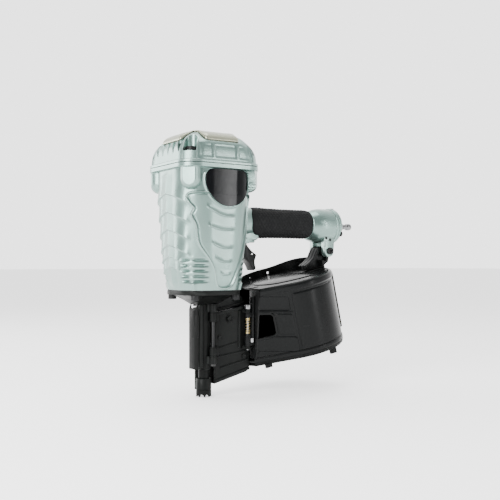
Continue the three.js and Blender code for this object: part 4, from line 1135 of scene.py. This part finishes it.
def bottom_pan():
    """The plastic shield under the magazine, with two small feet."""
    w_rows = np.concatenate([np.linspace(-51, -49.6, 5), np.linspace(-49, -46.4, 6)])
    ends = front_limit(CANISTER_FRONT_X + 8, w_rows), front_limit(CANISTER_FRONT_X + 2, w_rows, False)
    s, w = wall_grid(w_rows, *ends, 420)
    outer = -0.2 - 1.4 * (1 - smooth(w, -51, -49.6)) + 0.6 * smooth(w, -47.6, -47)
    side = shell("side", s, w, outer, outer - 3.0)
    floor = plate_at("pan", plan_outline(2.6, CANISTER_FRONT_X + 8, CANISTER_FRONT_X + 3, -50), -51, -48.8,
                     0.5)
    feet = []
    for u, v, drop in ((-77, -28.5, 5.5), (10, -61, 8.0)):
        foot = [(u, v), (u + 9, v - 1.4), (u + 9, v + 3.0), (u, v + 4.4)]
        feet.append(plate_at("foot", foot, -50 - drop, -50, 0.8))
    return joined("bottom_pan", [side, floor, *feet])


# ---------------------------------------------------------------- door
def channel_top(x):
    return 109.5 + (x - 10) * 0.19


def channel_bottom(x):
    return 19.5 + (x - 10) * 0.25


def boss(at, base, top, sunk, radii, fillet, sides):
    """A round boss on a wall that faces -Y, with a sunk middle."""
    outside, inside = radii
    line = [(0, base), (outside, base), (outside, top), (inside, top), (inside, sunk), (0, sunk)]
    return lathe("boss", filleted(line, fillet, 3), "y", at, sides)


def hinge_barrel(at, radii, span, web, bevel, sides=40):
    """A barrel round an upright pin, and the web that holds it."""
    (inside, outside), (low, high) = radii, span
    line = filleted([(inside, low), (outside, low), (outside, high), (inside, high), (inside, low)], 0.4, 3)
    return [lathe("barrel", line, "z", at, sides), prism("web", web, span, "z", bevel)]


def door_casting():
    """The feed door: a plate with a thick rim, slanted ribs, bosses and two hinge barrels."""
    edge = 2.0
    plate = [(12.5, channel_bottom(12.5) - edge), (66, channel_bottom(66) - edge), (66, channel_top(66)),
             (12.5, channel_top(12.5))]
    pieces = [prism("plate", plate, (-9.3, -4.7), "y", 0.7)]
    top_rim = [(13, channel_top(13) - 4), (54, channel_top(54) - 4), (54, channel_top(54)),
               (13, channel_top(13))]
    pieces.append(prism("rim", top_rim, (-11.6, -8.8), "y", 0.8))
    low_rim = [(12.8, channel_bottom(13) - 1.8), (65.6, channel_bottom(66) - 1.8),
               (65.6, channel_bottom(66) + 1.4),
               (12.8, channel_bottom(13) + 1.4)]
    pieces.append(prism("rim", low_rim, (-11.0, -8.8), "y", 0.6))
    for x0, z0, x1, z1 in ((12.9, 61, 50, 69.4), (12.9, 50.5, 64.6, 56.8), (20, 36, 63, 44.6)):
        rib = [(x0, z0), (x1, z1), (x1, z1 + 2.2), (x0, z0 + 2.2)]
        pieces.append(prism("rib", rib, (-11.0, -8.8), "y", 0.8))
    rear_rib = [(48, 62), (51, 62), (51, 112), (48, 111.5)]
    pieces.append(prism("rib", rear_rib, (-11.0, -8.8), "y", 0.8))
    pieces.append(boss((34.1, 101.5), -8.8, -12.6, -11.4, (4.6, 2.6), 0.5, 48))
    for at in ((19, 77.5), (57, 50)):
        pieces.append(boss(at, -8.8, -11.0, -10.4, (3.0, 1.6), 0.4, 36))
    hinge_web = [(9.6, -13.6), (16, -12.5), (16, -8), (10.6, -8)]
    for span in ((54, 66), (99, 111.7)):
        pieces += hinge_barrel(DOOR_PIN_AT, (2.6, 4.7), span, hinge_web, 0.6, 48)
    latch_web = [(55.2, -14.8), (61.8, -14.8), (62.2, -9), (54.8, -9)]
    for span in ((60, 64.5), (109, 113.5)):
        pieces += hinge_barrel(LATCH_AT, (1.9, 3.9), span, latch_web, 0.5)
    return joined("door_casting", pieces)


def latch_lever():
    """The latch: a long lever with a thumb tab, turning on the door's free edge."""
    x, y = LATCH_AT
    web = [(x + 2, y - 2.6), (x + 5.4, y - 2.8), (x + 5.4, y + 2.8), (x + 2, y + 2.6)]
    pieces = []
    for span in ((64.9, 80), (103, 108.6)):
        pieces += hinge_barrel(LATCH_AT, (1.9, 3.8), span, web, 0.4)
    lever = rounded_corners([(x + 4.4, 64.9), (x + 7.6, 66), (x + 7.7, 100), (x + 8.2, 116), (x + 8.4, 130),
                             (x + 6.6, 132), (x + 5.2, 130), (x + 5.2, 112), (x + 4.2, 100)], 2)
    pieces.append(prism("lever", lever, (y - 4.6, y + 2.6), "y", 0.8))
    return joined("latch_lever", pieces)


# ---------------------------------------------------------------- nose
def shield():
    """The guard in front of the nose: a channel with cross bars and a notched side."""
    outer = [(-13.4, -10.4), (-15.4, -10.4), (-17.4, -8.4), (-18.7, -4), (-18.9, 0), (-18.7, 4), (-17.4, 8.4),
             (-15.4, 10.4), (-13.4, 10.4)]
    inner = [(-13.4, 8.4), (-14.6, 8.4), (-15.9, 6), (-16.6, 0), (-15.9, -6), (-14.6, -8.4), (-13.4, -8.4)]
    wall = prism("wall", outer + inner, (37, 125), "z", 0)
    slope = prism("slope", [(-40, 136), (-40, 92), (-19.5, 111), (-12.8, 124), (-8, 136)], (-20, 20), "y", 0)
    notch = prism("notch", [(-30, 36), (-30, 79), (-18.0, 77.6), (-18.0, 36)], (-20, 20), "y", 0)
    cut_away(wall, [slope, notch])
    beveled(wall, 0.5, 3, 34, 42)
    bars = [block("bar", (-16.8, -9.9), (-8.9, 8.9), (z, z + 2.6), 0.4) for z in (45, 60, 75, 90, 104)]
    lip_line = [(-17.8, -9.0), (-15.6, -11.2), (-13.4, -11.2), (-13.4, -10.2), (-15.4, -10.2), (-17.2, -8.4)]
    lip_plate = prism("lip", lip_line, (79, 108), "z", 0.3)
    return joined("nose_guard", [wall, *bars, lip_plate])


def nose_web():
    """The casting between the nose's flange and the feed channel, with a stiffening edge and two bosses."""
    outline = [(8, 134.8), (8, 113), (14, 111.8), (40, 116.8), (61, 121), (61, 128), (52, 134.8)]
    pieces = [prism("web", outline, (-2.5, 2.5), "y", 0.6)]
    edge = [(9, 115.6), (9, 112.6), (14, 111.8), (40, 116.8), (61, 121), (61, 124), (40, 119.8), (14, 114.8)]
    pieces.append(prism("edge", edge, (-4.4, 4.4), "y", 0.7))
    for at in ((25.4, 126.4), (47, 128.4)):
        pieces.append(boss(at, -2, -5.0, -4.2, (3.9, 2.2), 0.4, 36))
    return joined("nose_web", pieces)


def foot_ring():
    """The contact foot: a hardened ring with teeth cut into its lower edge."""
    phi = np.linspace(0, 2 * math.pi, 288, endpoint=False)
    teeth = 8
    wave = np.abs(((phi / (2 * math.pi) * teeth) % 1) - 0.5) * 2
    tip = 3.4 * smooth(wave, 0.15, 0.62)
    rows = []

    def ring(r, z):
        rows.append(np.stack([r * np.cos(phi), r * np.sin(phi), z + 0 * phi], -1))

    ring(8.0, tip + 0.3)
    ring(8.6, tip)
    ring(9.6, tip)
    ring(10.1, tip + 0.5)
    for z in (6, 9):
        ring(10.2, z)
    ring(9.9, 9.3)
    ring(9.9, 10.1)
    ring(10.2, 10.4)
    ring(10.2, 23.2)
    ring(9.6, 24.0)
    ring(8.4, 24.0)
    ring(7.8, 23.4)
    ring(7.8, tip + 1.0)
    body = skinned("ring", rows, True, 38)
    ear = block("ear", (-6, 6), (10.2, 14.3), (8, 34), 0.7)
    return joined("foot_ring", [body, ear])


# ---------------------------------------------------------------- put it together
stands_for(barrel(), "housing")
rides(handle_casting(), "tool_body", "silver_paint")
stands_for(cap_shell(), "cap")
stands_for(top_plate(), "exhaust_cover")
stands_for(badge_plate(), "badge")
stands_for(grip_sleeve(), "grip")
stands_for(tail_casting(), "tail_cap")
stands_for(air_plug(), "air_plug")
for number, (sx, sy) in enumerate(CORNERS, 1):
    at = (sx * BOLT_AT, sy * BOLT_AT)
    stands_for(socket_screw(f"cap_screw_{number}", at, 314.6, 5.8, 6.6), f"cap_bolt_{number}")
    at = (sx * NOSE_BOLT_AT, sy * NOSE_BOLT_AT)
    stands_for(socket_screw(f"nose_screw_{number}", at, 134.4, 6.5, 5.5, "z", -1), f"nose_bolt_{number}")
for number, at in enumerate(tail_bolts(), 1):
    stands_for(socket_screw(f"tail_screw_{number}", at, 215.3, 3.4, 4.0, "x"), f"tail_bolt_{number}")
stands_for(socket_screw("arm_screw", (ARM_X, ARM_Z), -18.7, 3.4, 5.0, "y", -1), "arm_bolt")
stands_for(socket_screw("exhaust_screw_fine", (0, 0), 344.6, 2.6, 7.0), "exhaust_screw")
for number, (x, z) in enumerate(((191.8, 211.6), (198.7, 209.3)), 1):
    rides(socket_screw(f"cheek_screw_{number}", (x, z), -18.5, 0.9, 2.1, "y", -1), "tool_body", "dark_steel")

stands_for(cover(), "magazine_cover")
rides(front_face(), "magazine_cover", "black_plastic")
rides(nose_web(), "tool_body", "black_cast")
rides(block("nose_rail", (-12, -6.4), (-10.4, -5.5), (38.7, 122), 1.0), "tool_body", "black_cast")
knob = filleted([(0, 113.9), (4.3, 113.9), (4.3, 119.6), (0, 119.6)], 0.8, 4)
rides(lathe("latch_knob", knob, "z", LATCH_AT, 40), "door", "steel")
rides(block("latch_hook", (60.4, 64.6), (-22.4, -19.6), (69.4, 75.2), 0.9), "latch", "steel")
stands_for(canister_shell(), "canister")
stands_for(bottom_pan(), "bottom_shield")
stands_for(door_casting(), "door")
stands_for(latch_lever(), "latch")
stands_for(shield(), "nose_shield")
stands_for(foot_ring(), "contact_foot", slot="black_cast")
stands_for(coil("latch_coil", 2.8, 0.62, (80.6, 102.4), 9, LATCH_AT), "latch_spring")
stands_for(coil("contact_coil", 3.6, 0.7, (109, 130.6), 9, (-3.5, 14.8)), "contact_spring", slot="dark_steel")
stands_for(coil("valve_coil", 29, 1.5, (298, 318), 4), "head_valve_spring")
stands_for(coil("feed_coil", 5, 0.7, (49.6, 56.2), 4, (20.5, 68), "x"), "feed_spring")
for node, width in (("trigger", 0.9), ("nose", 0.7), ("feed_guide", 0.6), ("arm_nut", 0.5),
                    ("feeder_housing", 0.6), ("feeder_cap", 0.4), ("feed_piston", 0.4), ("feed_pawl", 0.3),
                    ("latch_pin", 0.3), ("cover_pin", 0.3), ("trigger_lever", 0.3)):
    refined(node, width)
refined("contact_link", 0.5)
refined("dial_stud", 0.3, "dark_steel")
refined("trigger_pin", 0.3, "dark_steel")
refined("depth_dial", 0.5)
refined("door_pin", 0.3, "dark_steel")
# The solids themselves are never moved; they only get the finishes.
for node, piece in frame["nodes"].items():
    give(piece, SLOT_OF[node])

# ---------------------------------------------------------------- studio
BACKDROP_WAY = (0.55, 0.83, 0.0)  # behind the tool as the photographer stood
SKY = (-0.5, 1.0, 0.55, 2.9)  # from this lean to that one, the sky goes from one strength to the other
LIT_PLACE = (0, 0, 0.2)
LIGHTS = [  # name, place, size in metres, watts
    ("key", (-1.25, -0.50, 0.70), (0.7, 1.0), 34),
    ("front", (-0.95, 1.25, 0.55), (0.8, 0.8), 15),
    ("strip", (0.66, -1.2, 0.4), (0.11, 0.9), 5.5),
    ("fill", (0.9, -1.25, 0.35), (1.0, 1.0), 0.9),
    ("top", (0, 0.1, 1.6), (0.9, 0.9), 14),
]
EYE = (-509.0, -881.6, 173.0)
EYE_TURN = 30 + 3.44  # degrees from straight at the tool's side, and a little more to place it in the picture


def studio_material(name, color, rough):
    made, tree, shader, place = nodes_of(name)
    tone = ramp(tree, noise(tree, place, 3.0, 2), [(0.3, color), (0.7, tuple(c * 1.01 for c in color))])
    tree.links.new(tone, shader.inputs["Base Color"])
    shader.inputs["Roughness"].default_value = rough
    return made


def floor_sheet():
    """A pale, flat floor that reaches far past the tool."""
    half = 30.0
    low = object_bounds()[0][2]
    mesh = bpy.data.meshes.new("studio_floor")
    corners = [(-half, -half, low), (half, -half, low), (half, half, low), (-half, half, low)]
    mesh.from_pydata(corners, [], [(0, 1, 2, 3)])
    floor = bpy.data.objects.new("studio_floor", mesh)
    bpy.context.scene.collection.objects.link(floor)
    white = studio_material("studio_white", (0.93, 0.93, 0.93), 0.8)
    shader = white.node_tree.nodes["Principled BSDF"]
    shader.inputs["Emission Color"].default_value = (1, 1, 1, 1)
    shader.inputs["Emission Strength"].default_value = 0.9
    shader.inputs["Specular IOR Level"].default_value = 0.1
    floor.data.materials.append(white)


def area_light(name, place, size, power):
    lamp = bpy.data.lights.new(name, "AREA")
    lamp.shape = "RECTANGLE"
    lamp.size, lamp.size_y = size
    lamp.energy = power
    light = bpy.data.objects.new(name, lamp)
    light.location = place
    light.rotation_euler = (Vector(LIT_PLACE) - Vector(place)).to_track_quat("-Z", "Y").to_euler()
    bpy.context.scene.collection.objects.link(light)


def studio():
    floor_sheet()
    world = bpy.data.worlds.new("studio_sky")
    world.use_nodes = True
    tree = world.node_tree
    towards = tree.nodes.new("ShaderNodeVectorMath")
    towards.operation = "DOT_PRODUCT"
    towards.inputs[1].default_value = BACKDROP_WAY
    tree.links.new(tree.nodes.new("ShaderNodeTexCoord").outputs["Generated"], towards.inputs[0])
    glow = tree.nodes.new("ShaderNodeMapRange")
    glow.interpolation_type = "SMOOTHSTEP"
    for socket, number in zip(("From Min", "From Max", "To Min", "To Max"), SKY):
        glow.inputs[socket].default_value = number
    tree.links.new(towards.outputs["Value"], glow.inputs["Value"])
    tree.links.new(glow.outputs["Result"], tree.nodes["Background"].inputs["Strength"])
    tree.nodes["Background"].inputs["Color"].default_value = (1, 1, 1, 1)
    bpy.context.scene.world = world
    for light in LIGHTS:
        area_light(*light)


def camera():
    """The photographer stood a metre away, 30 degrees to the front of the tool's side."""
    lens = bpy.data.cameras.new("camera")
    lens.lens = 55.51
    lens.sensor_width = 36
    lens.shift_y = 0.03
    lens.clip_start = 0.01
    holder = bpy.data.objects.new("camera", lens)
    holder.location = row(EYE)
    holder.rotation_euler = Euler((math.pi / 2, 0, -math.radians(EYE_TURN)))
    bpy.context.scene.collection.objects.link(holder)
    bpy.context.scene.camera = holder


studio()
camera()
